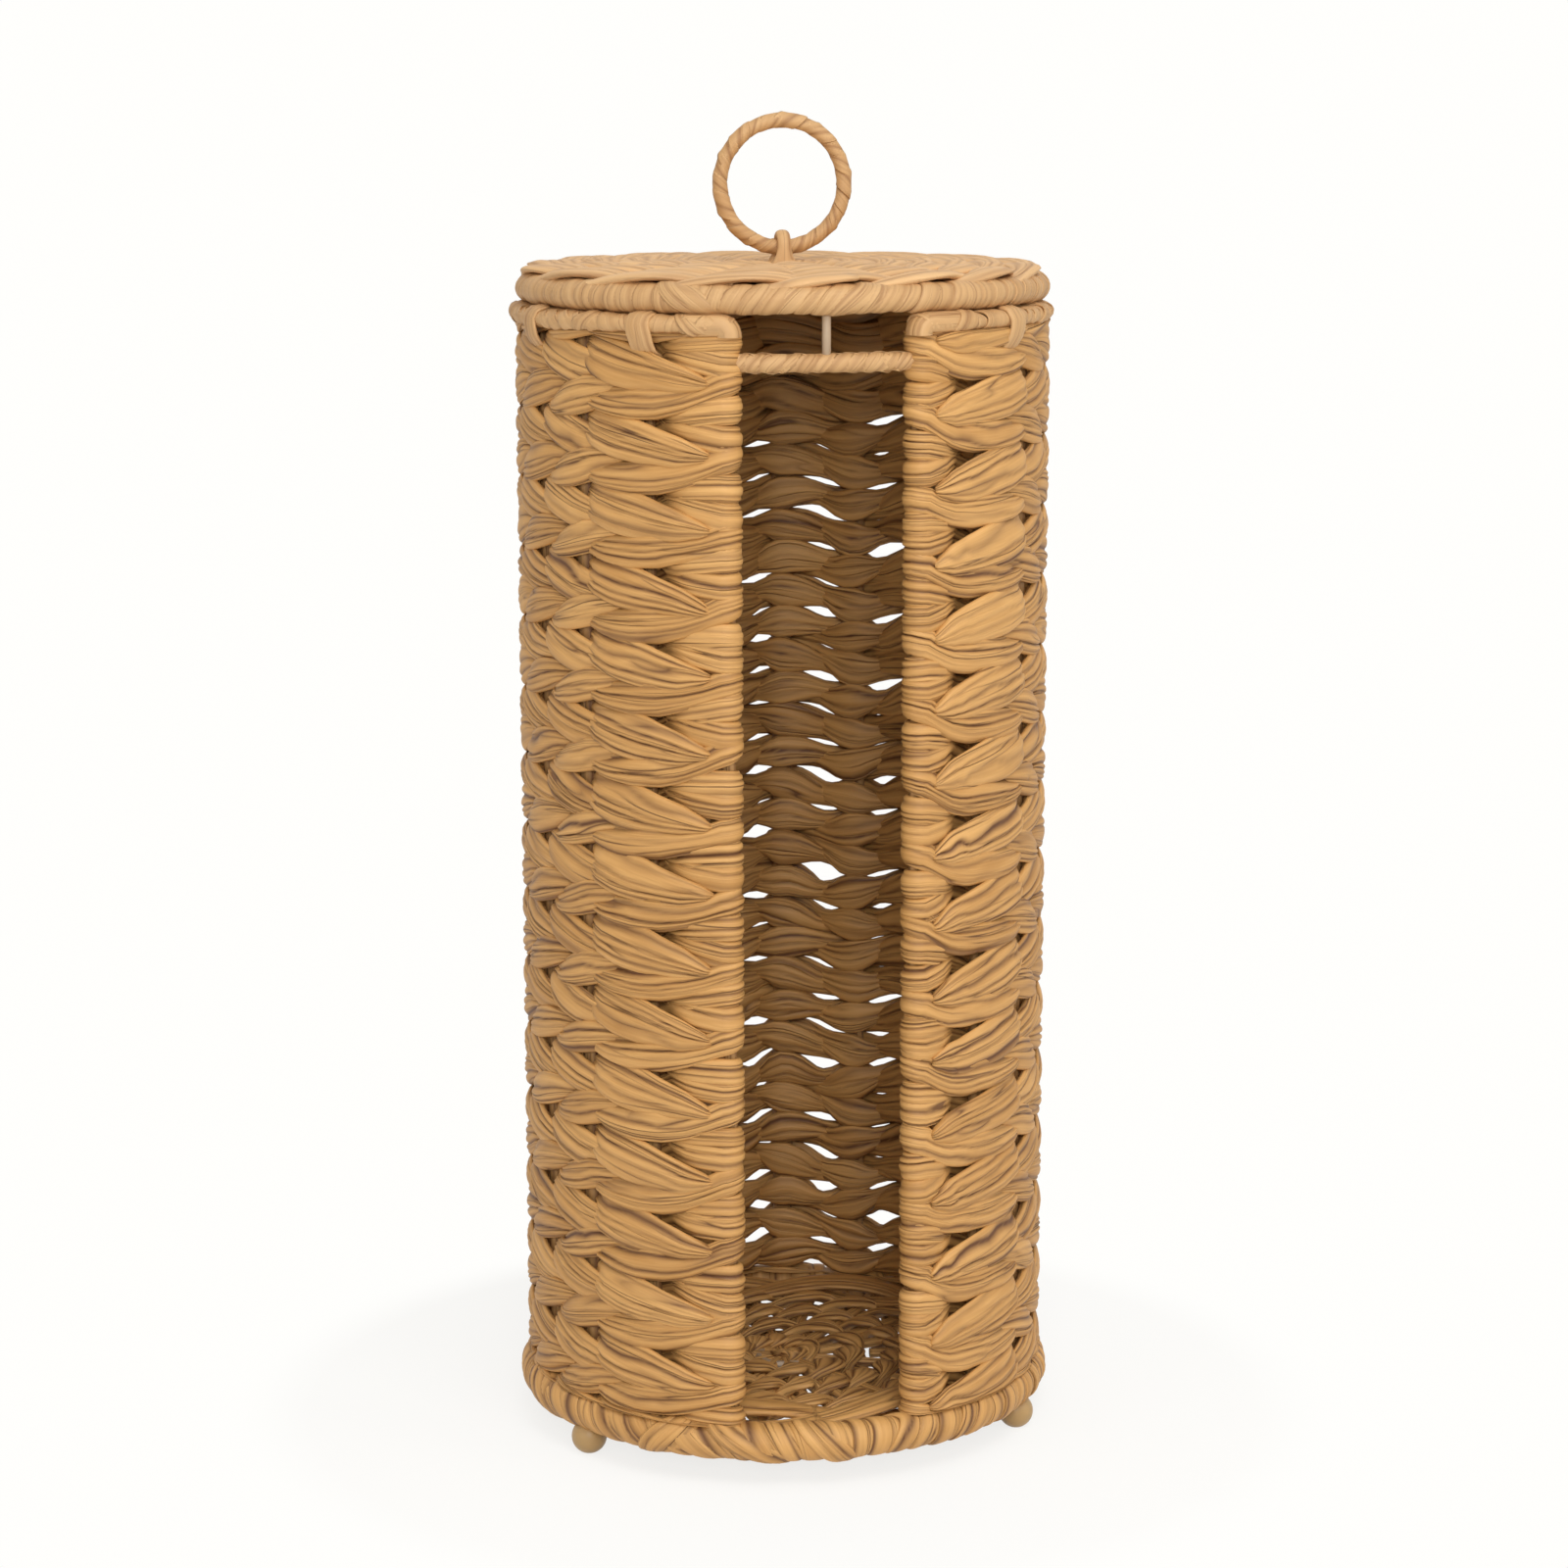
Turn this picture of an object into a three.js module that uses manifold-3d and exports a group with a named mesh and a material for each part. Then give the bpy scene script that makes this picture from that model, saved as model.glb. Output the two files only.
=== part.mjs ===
// A tall round basket that stores toilet rolls, woven on a frame of bent and welded wire. A slot runs down
// its front, a woven lid lifts off its top, and a wrapped ring on the lid is its handle.
// Millimetres, +Z up. The origin is on the basket's axis, at the height of the surface that it stands on, and
// the slot faces -Y. Angles round the basket are counted from the slot, towards +X.

import * as THREE from 'three';
import { mergeVertices } from 'three/addons/utils/BufferGeometryUtils.js';
import Module from 'manifold-3d';

const wasm = await Module();
wasm.setup();

// Frame and fits
const clearance = 0.3; // gap between pieces that touch
const wireRadius = 1.3; // every wire of the frame
const hubRadius = 8; // small wire ring that the spokes of the floor and the lid start from

// Wall
const wallOuterRadius = 80;
const wallThickness = 9;
const wallHeight = 320.65;
const slotWidth = 48.2; // clear width of the slot between its two woven edges
const stakeCount = 16; // upright wires between the two slot posts

// Relief of the weave on the wall's outer side, where each row of strands swells over each stake
const chevronCount = 15; // pairs of rows up the wall, one that slants each way
const firstRowShare = 0.18; // height of the lowest row's middle above the wall's bottom, in chevrons
const weaveGroove = 3.6; // depth between two stakes
const weaveDip = 1.4; // depth between two rows
const weaveLean = 6; // rise of a row's strand from one stake to the next
const stakeShoulder = 0.25; // half the width of a swell over a stake, in stake pitches

// Rims of the wall
const baseRimHalfWidth = 5.85;
const baseRimHalfHeight = 5.85;
const baseRimInset = 1.15; // the wrapped base rim's centre lies this far inside its ring wire
const topRimHalfWidth = 4.6;
const topRimHalfHeight = 3.8;
const topRimInset = 1.0;
const topRimMouth = 53.8; // clear width between the two ends of the top rim, over the slot
const lapWidth = 0.3; // slit where the two ends of a ring's wrapping meet

// Feet
const footBallRadius = 5.4;
const footFlatDepth = 0.5; // the ball is this much flattened where it stands
const footStemLength = 1.3; // bare stem between the ball and the base ring wire
const footCount = 3;
const frontFootAngle = 60;

// Floor
const floorThickness = 8;

// Bar across the slot and the bare post on it
const crossbarDrop = 10; // from the top rim's centre down to the bar's centre
const crossbarRadius = 2.9;

// Lid
const lidRimInset = 3.3; // the lid's rim circle lies this far inside the top ring wire
const lidRimRadius = 5.3;
const lidRise = 3.4; // the lid's centre stands this much higher than its rim
const lidThickness = 8;
const lidSpokeCount = 8;

// Ring handle and its staple
const handleCircleRadius = 18.9; // centre of the ring to the centre of its wire
const handleWrapRadius = 2.45;
const handleStandOff = 0.5; // between the upright ring and the woven lid
const handleRunningGap = 0.4; // between the ring and the staple that it swings in
const stapleWidth = 4.8;
const stapleThickness = 2.4;
const stapleFootThickness = 1.6;
const stapleFootReach = 1; // how far a bent staple foot passes the hub ring

// Fineness of the round shapes
const ringSegments = 48;
const hubSegments = 16;
const handleSegments = 28;
const wrapSides = 8;
const wireSides = 6;
const postSides = 12;
const ballSegments = 12;
const halfTurnSteps = 8;
const seatSamples = 200;
const weaveLevels = 4; // levels of the relief in each chevron: each row's middle, and between the rows
const weaveOverhang = 1.5; // the wall's outline stands this far past the relief, which cuts it back

// Circles and angles that follow from these sizes
const halfTurn = Math.PI;
const fullTurn = 2 * Math.PI;
const boreRadius = wireRadius + clearance;
const stakeCircle = wallOuterRadius - wallThickness / 2;
const ringCircle = stakeCircle + 2 * wireRadius + clearance;
const wallInnerRadius = wallOuterRadius - wallThickness;
const postAngle = Math.asin((slotWidth + wallThickness) / 2 / stakeCircle);
const stakePitch = (fullTurn - 2 * postAngle) / (stakeCount + 1);

// Cross-sections of the three wrapped rims: the circle of their centre and their half sizes
const baseRim = {
  circle: ringCircle - baseRimInset,
  halfWidth: baseRimHalfWidth,
  halfHeight: baseRimHalfHeight,
};
const topRim = {
  circle: ringCircle - topRimInset,
  halfWidth: topRimHalfWidth,
  halfHeight: topRimHalfHeight,
};
const lidRim = {
  circle: ringCircle - lidRimInset,
  halfWidth: lidRimRadius,
  halfHeight: lidRimRadius,
};

// Half of a rim section's height at a given distance from the basket's axis
function halfHeightAt(rim, radius) {
  const share = (radius - rim.circle) / rim.halfWidth;
  return rim.halfHeight * Math.sqrt(Math.max(0, 1 - share * share));
}

// Height from the lower rim's centre to the upper rim's centre when the upper one rests on it
function restingHeight(lower, upper) {
  let height = 0;
  for (let i = 0; i <= seatSamples; i += 1) {
    const radius = upper.circle + upper.halfWidth * (2 * i / seatSamples - 1);
    const both = halfHeightAt(lower, radius) + halfHeightAt(upper, radius);
    height = Math.max(height, both);
  }
  return height + clearance;
}

// Heights above the surface that the basket stands on
const footCentreZ = footBallRadius - footFlatDepth;
const footTopZ = footCentreZ + footBallRadius + footStemLength;
const baseRimZ = footTopZ + clearance + wireRadius;
const wallBottomZ = baseRimZ + baseRimHalfHeight + clearance;
const wallTopZ = wallBottomZ + wallHeight;
const topRimZ = wallTopZ + clearance + topRimHalfHeight;
const crossbarZ = topRimZ - crossbarDrop;
const lidRimZ = topRimZ + restingHeight(topRim, lidRim);

// Heights in the lid, from its rim's centre
const lidFaceZ = lidRise + lidThickness / 2;
const handlePivotZ = lidFaceZ + handleStandOff + handleWrapRadius;

const strandMaterial = new THREE.MeshStandardMaterial({ color: 0xcd9e6c, roughness: 0.7, metalness: 0 });
const wrapMaterial = new THREE.MeshStandardMaterial({ color: 0xd6aa76, roughness: 0.68, metalness: 0 });
const wireMaterial = new THREE.MeshStandardMaterial({ color: 0xbba186, roughness: 0.5, metalness: 0.1 });
const footMaterial = new THREE.MeshStandardMaterial({ color: 0xbeaf96, roughness: 0.45, metalness: 0 });

// A closed geometry as a solid that can be joined and cut, without triangles that have no area
function solid(geometry) {
  geometry.deleteAttribute('normal');
  geometry.deleteAttribute('uv');
  const merged = mergeVertices(geometry);
  const corners = merged.index.array;
  const kept = [];
  for (let i = 0; i < corners.length; i += 3) {
    const [a, b, c] = corners.slice(i, i + 3);
    if (a !== b && b !== c && c !== a) {
      kept.push(a, b, c);
    }
  }
  const mesh = new wasm.Mesh({
    numProp: 3,
    vertProperties: Float32Array.from(merged.attributes.position.array),
    triVerts: Uint32Array.from(kept),
  });
  return new wasm.Manifold(mesh);
}

// The geometry of a solid, for a mesh
function geometryOf(piece) {
  const mesh = piece.getMesh();
  const geometry = new THREE.BufferGeometry();
  geometry.setAttribute('position', new THREE.Float32BufferAttribute(mesh.vertProperties, 3));
  geometry.setIndex(new THREE.Uint32BufferAttribute(mesh.triVerts, 1));
  geometry.computeVertexNormals();
  return geometry;
}

function addMesh(group, name, geometry, material) {
  const mesh = new THREE.Mesh(geometry, material);
  mesh.name = name;
  group.add(mesh);
  return mesh;
}

// A point on a circle round the axis, at an angle from the slot
function onCircle(radius, angle, z = 0) {
  return new THREE.Vector3(radius * Math.sin(angle), -radius * Math.cos(angle), z);
}

// Points of an arc in a plane, from one angle to another
function arc(centreX, centreY, radius, start, end, steps) {
  const points = [];
  for (let i = 0; i <= steps; i += 1) {
    const angle = start + (end - start) * i / steps;
    points.push(new THREE.Vector2(centreX + radius * Math.cos(angle), centreY + radius * Math.sin(angle)));
  }
  return points;
}

// A profile of points (radius, height) turned round the Z axis
function turned(profile, segments = ringSegments) {
  const geometry = new THREE.LatheGeometry(profile, segments);
  geometry.rotateX(halfTurn / 2);
  return geometry;
}

// A closed ring of round or oval section
function ring(circle, halfWidth, halfHeight, z, sides, segments = ringSegments) {
  const profile = [];
  for (let i = 0; i <= sides; i += 1) {
    const angle = fullTurn * (i % sides) / sides;
    profile.push(new THREE.Vector2(circle + halfWidth * Math.cos(angle), z + halfHeight * Math.sin(angle)));
  }
  return turned(profile, segments);
}

// An upright rod on the Z axis
function uprightRod(radius, bottom, top, sides) {
  const geometry = new THREE.CylinderGeometry(radius, radius, top - bottom, sides);
  geometry.rotateX(halfTurn / 2);
  geometry.translate(0, 0, (top + bottom) / 2);
  return geometry;
}

// A straight rod from one point to another
function rodBetween(start, end, radius, sides) {
  const along = new THREE.Vector3().subVectors(end, start);
  const geometry = new THREE.CylinderGeometry(radius, radius, along.length(), sides);
  const turn = new THREE.Quaternion().setFromUnitVectors(new THREE.Vector3(0, 1, 0), along.normalize());
  geometry.applyQuaternion(turn);
  const middle = new THREE.Vector3().addVectors(start, end).multiplyScalar(0.5);
  geometry.translate(middle.x, middle.y, middle.z);
  return geometry;
}

// A flat outline given as points, thickened upwards from a height
function plate(points, bottom, top, holes = []) {
  const shape = new THREE.Shape(points);
  shape.holes = holes.map((hole) => new THREE.Path(hole));
  const geometry = new THREE.ExtrudeGeometry(shape, { depth: top - bottom, bevelEnabled: false });
  geometry.translate(0, 0, bottom);
  return geometry;
}

// A block that takes away everything inside an angle on each side of the slot, or of another direction
function wedge(halfAngle, direction, reach, bottom, top) {
  const far = reach / Math.cos(halfAngle);
  const corners = [
    new THREE.Vector2(0, 0),
    new THREE.Vector2(far * Math.sin(-halfAngle), -far * Math.cos(halfAngle)),
    new THREE.Vector2(far * Math.sin(halfAngle), -far * Math.cos(halfAngle)),
  ];
  const geometry = plate(corners, bottom, top);
  geometry.rotateZ(direction);
  return solid(geometry);
}

// A thin slit across a ring's section, in one direction from the axis
function slit(direction, reach, bottom, top) {
  const geometry = new THREE.BoxGeometry(lapWidth, reach, top - bottom);
  geometry.translate(0, -reach / 2, (top + bottom) / 2);
  geometry.rotateZ(direction);
  return solid(geometry);
}

// The same cutter or rod at several angles round the basket, joined in one solid
function around(angles, makeGeometry) {
  const copies = angles.map((angle) => {
    const geometry = makeGeometry();
    geometry.rotateZ(angle);
    return solid(geometry);
  });
  return wasm.Manifold.union(copies);
}

// Angles of the two slot posts and of the stakes between them, the way round from the left post
const postAngles = [-postAngle, postAngle];
const stakeAngles = Array.from({ length: stakeCount }, (_, i) => postAngle + stakePitch * (i + 1));
const uprightAngles = [...postAngles, ...stakeAngles];

// Floor spokes start at the front and stand midway between stakes, in every second space
const floorSpokeAngles = [0];
for (let i = 0; i <= stakeCount; i += 2) {
  floorSpokeAngles.push(postAngle + stakePitch * (i + 0.5));
}
const lidSpokeAngles = Array.from({ length: lidSpokeCount }, (_, i) => fullTurn * i / lidSpokeCount);
const footAngles = Array.from({ length: footCount }, (_, i) => {
  return THREE.MathUtils.degToRad(frontFootAngle) + fullTurn * i / footCount;
});

// Frame of the basket: two ring wires, upright wires on their inner side, and spokes in the floor
function uprightWire(radius = wireRadius, gap = 0, sides = wireSides) {
  return uprightRod(radius, baseRimZ - wireRadius - gap, topRimZ + wireRadius + gap, sides);
}

function uprightCutter() {
  const geometry = uprightWire(boreRadius, clearance);
  geometry.translate(0, -stakeCircle, 0);
  return geometry;
}

function spoke(inner, outer, innerZ, outerZ, radius) {
  return rodBetween(onCircle(inner, 0, innerZ), onCircle(outer, 0, outerZ), radius, wireSides);
}

const spokeStart = hubRadius + wireRadius + clearance;
const floorSpokeEnd = ringCircle - wireRadius - clearance;
const uprightCutters = around(uprightAngles, uprightCutter);

// Places across the relief, in stake pitches from the right slot post
const weavePlaces = [-stakeShoulder, 0];
for (let i = 0; i <= stakeCount; i += 1) {
  weavePlaces.push(i + stakeShoulder, i + 0.5, i + 1 - stakeShoulder);
}
weavePlaces.push(stakeCount + 1, stakeCount + 1 + stakeShoulder);

// A point of the relief. Even levels are the middles of the rows, odd levels lie between two rows.
function weavePoint(place, level) {
  const fromStake = place - Math.round(place);
  const betweenStakes = Math.abs(fromStake) === 0.5;
  const besidePost = place < 1 || place > stakeCount;
  const chevron = wallHeight / chevronCount;
  const rowSign = level % weaveLevels === 0 ? 1 : -1;
  let depth = level % 2 === 0 ? 0 : weaveDip;
  let rise = 0;
  if (place <= 0 || place >= stakeCount + 1) {
    depth = -clearance;
  } else if (betweenStakes) {
    depth = besidePost ? weaveDip : weaveGroove;
  } else if (level % 2 === 0) {
    rise = rowSign * weaveLean * fromStake;
  }
  const z = wallBottomZ + chevron * (firstRowShare + level / weaveLevels) + rise;
  return onCircle(wallOuterRadius - depth, postAngle + stakePitch * place, z);
}

// A body that fills the basket out to the relief: its outer side is a grid of points, closed to the axis
function weaveRelief() {
  const levels = [];
  for (let level = -1; level <= weaveLevels * chevronCount; level += 1) {
    levels.push(level);
  }
  const rows = levels.map((level) => weavePlaces.map((place) => weavePoint(place, level)));
  const last = weavePlaces.length - 1;
  const bottom = new THREE.Vector3(0, 0, rows[0][0].z);
  const top = new THREE.Vector3(0, 0, rows[rows.length - 1][0].z);
  const corners = [];
  for (let j = 0; j + 1 < rows.length; j += 1) {
    const [lower, upper] = [rows[j], rows[j + 1]];
    for (let i = 0; i < last; i += 1) {
      corners.push(lower[i], lower[i + 1], upper[i + 1], lower[i], upper[i + 1], upper[i]);
    }
    corners.push(bottom, lower[0], upper[0], bottom, upper[last], lower[last]);
  }
  const highest = rows[rows.length - 1];
  corners.push(bottom, highest[0], top, bottom, top, highest[last]);
  for (let i = 0; i < last; i += 1) {
    corners.push(bottom, rows[0][i + 1], rows[0][i], top, highest[i], highest[i + 1]);
  }
  return solid(new THREE.BufferGeometry().setFromPoints(corners));
}

// The woven wall: a shell open over the slot, rounded round the slot posts, with a bore for each upright
function wallWeave() {
  const end = fullTurn - postAngle;
  const toPlane = -halfTurn / 2; // angles from the slot are a quarter turn from the plane's X axis
  const edge = (angle, start) => {
    const post = onCircle(stakeCircle, angle);
    return arc(post.x, post.y, wallThickness / 2, start, start + halfTurn, halfTurnSteps);
  };
  const shoulder = stakePitch * stakeShoulder;
  const outside = wallOuterRadius + weaveOverhang;
  const outline = [
    ...arc(0, 0, outside, postAngle + shoulder + toPlane, end - shoulder + toPlane, ringSegments),
    ...edge(end, end + toPlane).slice(0, -1),
    ...arc(0, 0, wallInnerRadius, end + toPlane, postAngle + toPlane, ringSegments),
    ...edge(postAngle, postAngle + toPlane + halfTurn).slice(1),
  ];
  const holes = uprightAngles.map((angle) => {
    const centre = onCircle(stakeCircle, angle);
    return arc(centre.x, centre.y, boreRadius, angle, angle - fullTurn, wireSides).slice(0, -1);
  });
  const wall = solid(plate(outline, wallBottomZ, wallTopZ, holes));
  return wall.intersect(weaveRelief()).subtract(crossbarBore());
}

// The bar across the slot follows the circle of the stakes, from one slot post to the other
function crossbarRod(radius, sides) {
  const rod = solid(ring(stakeCircle, radius, radius, crossbarZ, sides));
  const bottom = crossbarZ - 2 * radius;
  const top = crossbarZ + 2 * radius;
  return rod.intersect(wedge(postAngle, 0, wallOuterRadius, bottom, top));
}

function crossbarBore() {
  return crossbarRod(boreRadius, wireSides);
}

function postsWithGap(radius) {
  return around(postAngles, () => {
    const geometry = uprightWire(radius + clearance, clearance, 2 * halfTurnSteps);
    geometry.translate(0, -stakeCircle, 0);
    return geometry;
  });
}

function crossbarWire() {
  return crossbarRod(wireRadius, wireSides).subtract(postsWithGap(wireRadius));
}

// The wrapping of the bar stops at the rounded edges of the wall, and the bare post stands in it
function crossbarWrap() {
  const post = uprightRod(boreRadius, crossbarZ, crossbarZ + 2 * crossbarRadius, postSides);
  post.translate(0, -stakeCircle, 0);
  return crossbarRod(crossbarRadius, wrapSides)
    .subtract(crossbarBore())
    .subtract(postsWithGap(wallThickness / 2))
    .subtract(solid(post));
}

// Wrapped rims of the wall, with a bore for the ring wire and for each wire that meets it
function topRimWrap() {
  const bottom = topRimZ - 2 * topRimHalfHeight;
  const top = topRimZ + 2 * topRimHalfHeight;
  const mouth = Math.asin(topRimMouth / 2 / topRim.circle);
  return solid(ring(topRim.circle, topRim.halfWidth, topRim.halfHeight, topRimZ, wrapSides))
    .subtract(solid(ring(ringCircle, boreRadius, boreRadius, topRimZ, wireSides)))
    .subtract(uprightCutters)
    .subtract(wedge(mouth, 0, 2 * topRim.circle, bottom, top));
}

function topRingWire() {
  const bottom = topRimZ - 2 * wireRadius;
  const top = topRimZ + 2 * wireRadius;
  const mouth = Math.asin(topRimMouth / 2 / topRim.circle);
  return solid(ring(ringCircle, wireRadius, wireRadius, topRimZ, wireSides))
    .subtract(wedge(mouth, 0, 2 * ringCircle, bottom, top));
}

function floorSpokeCutters() {
  return around(floorSpokeAngles, () => spoke(hubRadius, ringCircle, baseRimZ, baseRimZ, boreRadius));
}

function baseRimWrap() {
  const lapAngle = halfTurn - stakePitch;
  const reach = baseRim.circle + 2 * baseRim.halfWidth;
  const feet = around(footAngles, () => footBody(clearance));
  const feetStems = around(footAngles, () => footStem(clearance));
  return solid(ring(baseRim.circle, baseRim.halfWidth, baseRim.halfHeight, baseRimZ, wrapSides))
    .subtract(solid(ring(ringCircle, boreRadius, boreRadius, baseRimZ, wireSides)))
    .subtract(uprightCutters)
    .subtract(floorSpokeCutters())
    .subtract(feet)
    .subtract(feetStems)
    .subtract(slit(lapAngle, reach, baseRimZ - 2 * baseRim.halfHeight, baseRimZ + 2 * baseRim.halfHeight));
}

// A foot: a ball under the base rim on a short stem that ends below the ring wire
function footBody(gap) {
  const geometry = new THREE.SphereGeometry(footBallRadius + gap, ballSegments, ballSegments / 2);
  geometry.rotateX(halfTurn / 2);
  geometry.translate(0, -baseRim.circle, footCentreZ);
  return geometry;
}

function footStem(gap) {
  const geometry = uprightRod(wireRadius + gap, footCentreZ, footTopZ + gap, wireSides);
  geometry.translate(0, -baseRim.circle, 0);
  return geometry;
}

function foot() {
  const ground = new THREE.BoxGeometry(2 * baseRim.circle, 4 * baseRim.circle, 2 * footBallRadius);
  ground.translate(0, 0, -footBallRadius);
  return solid(footBody(0)).add(solid(footStem(0))).subtract(solid(ground));
}

// The woven floor: a disc with a bore for its spokes and their hub ring
function floorWeave() {
  const edge = baseRim.circle - baseRim.halfWidth - clearance;
  const bottom = baseRimZ - floorThickness / 2;
  const top = baseRimZ + floorThickness / 2;
  const profile = [
    new THREE.Vector2(0, bottom),
    new THREE.Vector2(edge, bottom),
    new THREE.Vector2(edge, top),
    new THREE.Vector2(0, top),
  ];
  return solid(turned(profile))
    .subtract(solid(ring(hubRadius, boreRadius, boreRadius, baseRimZ, wireSides, hubSegments)))
    .subtract(floorSpokeCutters());
}

// Lid, built round its own rim's centre
const lidSpokeEnd = lidRim.circle - wireRadius - clearance;
const lidEdge = lidRim.circle - lidRim.halfWidth - clearance;

// Height of the middle of the lid's weave at a distance from the axis: level over the hub, then sloping out
function lidMiddleZ(radius) {
  return lidRise * Math.min(1, (lidSpokeEnd - radius) / (lidSpokeEnd - spokeStart));
}

function lidSpoke(inner, outer, radius) {
  return spoke(inner, outer, lidMiddleZ(inner), lidMiddleZ(outer), radius);
}

function lidSpokeCutters() {
  return around(lidSpokeAngles, () => lidSpoke(spokeStart - 2 * clearance, lidRim.circle, boreRadius));
}

function lidRimWrap() {
  const lapAngle = halfTurn - halfTurn / lidSpokeCount;
  const reach = lidRim.circle + 2 * lidRimRadius;
  return solid(ring(lidRim.circle, lidRimRadius, lidRimRadius, 0, wrapSides))
    .subtract(solid(ring(lidRim.circle, boreRadius, boreRadius, 0, wireSides)))
    .subtract(lidSpokeCutters())
    .subtract(slit(lapAngle, reach, -2 * lidRimRadius, 2 * lidRimRadius));
}

function lidWeave() {
  const half = lidThickness / 2;
  const profile = [
    new THREE.Vector2(0, lidRise - half),
    new THREE.Vector2(spokeStart, lidRise - half),
    new THREE.Vector2(lidEdge, lidMiddleZ(lidEdge) - half),
    new THREE.Vector2(lidEdge, lidMiddleZ(lidEdge) + half),
    new THREE.Vector2(spokeStart, lidRise + half),
    new THREE.Vector2(0, lidRise + half),
  ];
  return solid(turned(profile))
    .subtract(solid(ring(hubRadius, boreRadius, boreRadius, lidRise, wireSides, hubSegments)))
    .subtract(lidSpokeCutters())
    .subtract(staplePassage());
}

// The staple bends over the ring, its legs go down through the lid, and its feet hold under the hub ring
const stapleInner = handleWrapRadius + handleRunningGap;
const stapleOuter = stapleInner + stapleThickness;
const stapleFootTopZ = lidRise - wireRadius - clearance;
const stapleFootEnd = hubRadius + wireRadius + stapleFootReach;

function handleStaple() {
  const footBottomZ = stapleFootTopZ - stapleFootThickness;
  const outline = [
    ...arc(0, handlePivotZ, stapleOuter, 0, halfTurn, halfTurnSteps),
    new THREE.Vector2(-stapleOuter, stapleFootTopZ),
    new THREE.Vector2(-stapleFootEnd, stapleFootTopZ),
    new THREE.Vector2(-stapleFootEnd, footBottomZ),
    new THREE.Vector2(-stapleInner, footBottomZ),
    ...arc(0, handlePivotZ, stapleInner, halfTurn, 0, halfTurnSteps),
    new THREE.Vector2(stapleInner, footBottomZ),
    new THREE.Vector2(stapleFootEnd, footBottomZ),
    new THREE.Vector2(stapleFootEnd, stapleFootTopZ),
    new THREE.Vector2(stapleOuter, stapleFootTopZ),
  ];
  return standing(plate(outline, -stapleWidth / 2, stapleWidth / 2));
}

// A plate drawn as (Y, Z) and thickened along X
function standing(geometry) {
  const axes = new THREE.Matrix4().makeBasis(
    new THREE.Vector3(0, 1, 0),
    new THREE.Vector3(0, 0, 1),
    new THREE.Vector3(1, 0, 0),
  );
  geometry.applyMatrix4(axes);
  return solid(geometry);
}

// The room for the staple in the lid: a slot for each leg, and a pocket for the feet that is open below
function staplePassage() {
  const width = stapleWidth + 2 * clearance;
  const legs = [-1, 1].map((side) => {
    const geometry = new THREE.BoxGeometry(width, stapleThickness + 2 * clearance, 2 * lidThickness);
    geometry.translate(0, side * (stapleInner + stapleOuter) / 2, lidRise);
    return solid(geometry);
  });
  const pocketHeight = lidThickness;
  const pocket = new THREE.BoxGeometry(width, 2 * (stapleFootEnd + clearance), pocketHeight);
  pocket.translate(0, 0, stapleFootTopZ + clearance - pocketHeight / 2);
  return wasm.Manifold.union([...legs, solid(pocket)]);
}

// The ring handle, built round its pivot: the ring stands upright in the XZ plane above it
function handleRing(radius, sides) {
  const geometry = ring(handleCircleRadius, radius, radius, 0, sides, handleSegments);
  geometry.rotateX(halfTurn / 2);
  geometry.translate(0, 0, handleCircleRadius);
  return geometry;
}

function handleRingWrap() {
  const lap = new THREE.BoxGeometry(lapWidth, 4 * handleWrapRadius, 4 * handleWrapRadius);
  return solid(handleRing(handleWrapRadius, wrapSides))
    .subtract(solid(handleRing(boreRadius, wireSides)))
    .subtract(solid(lap));
}

const basket = new THREE.Group();
const baseRing = ring(ringCircle, wireRadius, wireRadius, baseRimZ, wireSides);
addMesh(basket, 'base_ring_wire', baseRing, wireMaterial);
addMesh(basket, 'base_rim_wrap', geometryOf(baseRimWrap()), wrapMaterial);
addMesh(basket, 'top_ring_wire', geometryOf(topRingWire()), wireMaterial);
addMesh(basket, 'top_rim_wrap', geometryOf(topRimWrap()), wrapMaterial);
addMesh(basket, 'wall_weave', geometryOf(wallWeave()), strandMaterial);

const postNames = ['slot_post_left', 'slot_post_right'];
postAngles.forEach((angle, i) => {
  const post = addMesh(basket, postNames[i], uprightWire(), wireMaterial);
  post.position.copy(onCircle(stakeCircle, angle));
  post.rotation.z = angle;
});
stakeAngles.forEach((angle, i) => {
  const name = `stake_${String(i + 1).padStart(2, '0')}`;
  const stake = addMesh(basket, name, uprightWire(), wireMaterial);
  stake.position.copy(onCircle(stakeCircle, angle));
  stake.rotation.z = angle;
});

addMesh(basket, 'crossbar_wire', geometryOf(crossbarWire()), wireMaterial);
addMesh(basket, 'crossbar_wrap', geometryOf(crossbarWrap()), wrapMaterial);
const supportTop = lidRimZ - halfHeightAt(lidRim, stakeCircle) - clearance;
const supportBottom = crossbarZ + wireRadius + clearance;
const supportPost = uprightRod(wireRadius, supportBottom, supportTop, postSides);
addMesh(basket, 'lid_support_post', supportPost, wireMaterial).position.copy(onCircle(stakeCircle, 0));

addMesh(basket, 'floor_weave', geometryOf(floorWeave()), strandMaterial);
const floorHub = ring(hubRadius, wireRadius, wireRadius, baseRimZ, wireSides, hubSegments);
addMesh(basket, 'floor_hub_ring', floorHub, wireMaterial);
floorSpokeAngles.forEach((angle, i) => {
  const rod = spoke(spokeStart, floorSpokeEnd, baseRimZ, baseRimZ, wireRadius);
  const name = `floor_spoke_${String(i + 1).padStart(2, '0')}`;
  addMesh(basket, name, rod, wireMaterial).rotation.z = angle;
});
const footNames = ['foot_right', 'foot_back', 'foot_left'];
footAngles.forEach((angle, i) => {
  addMesh(basket, footNames[i], geometryOf(foot()), footMaterial).rotation.z = angle;
});

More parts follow.
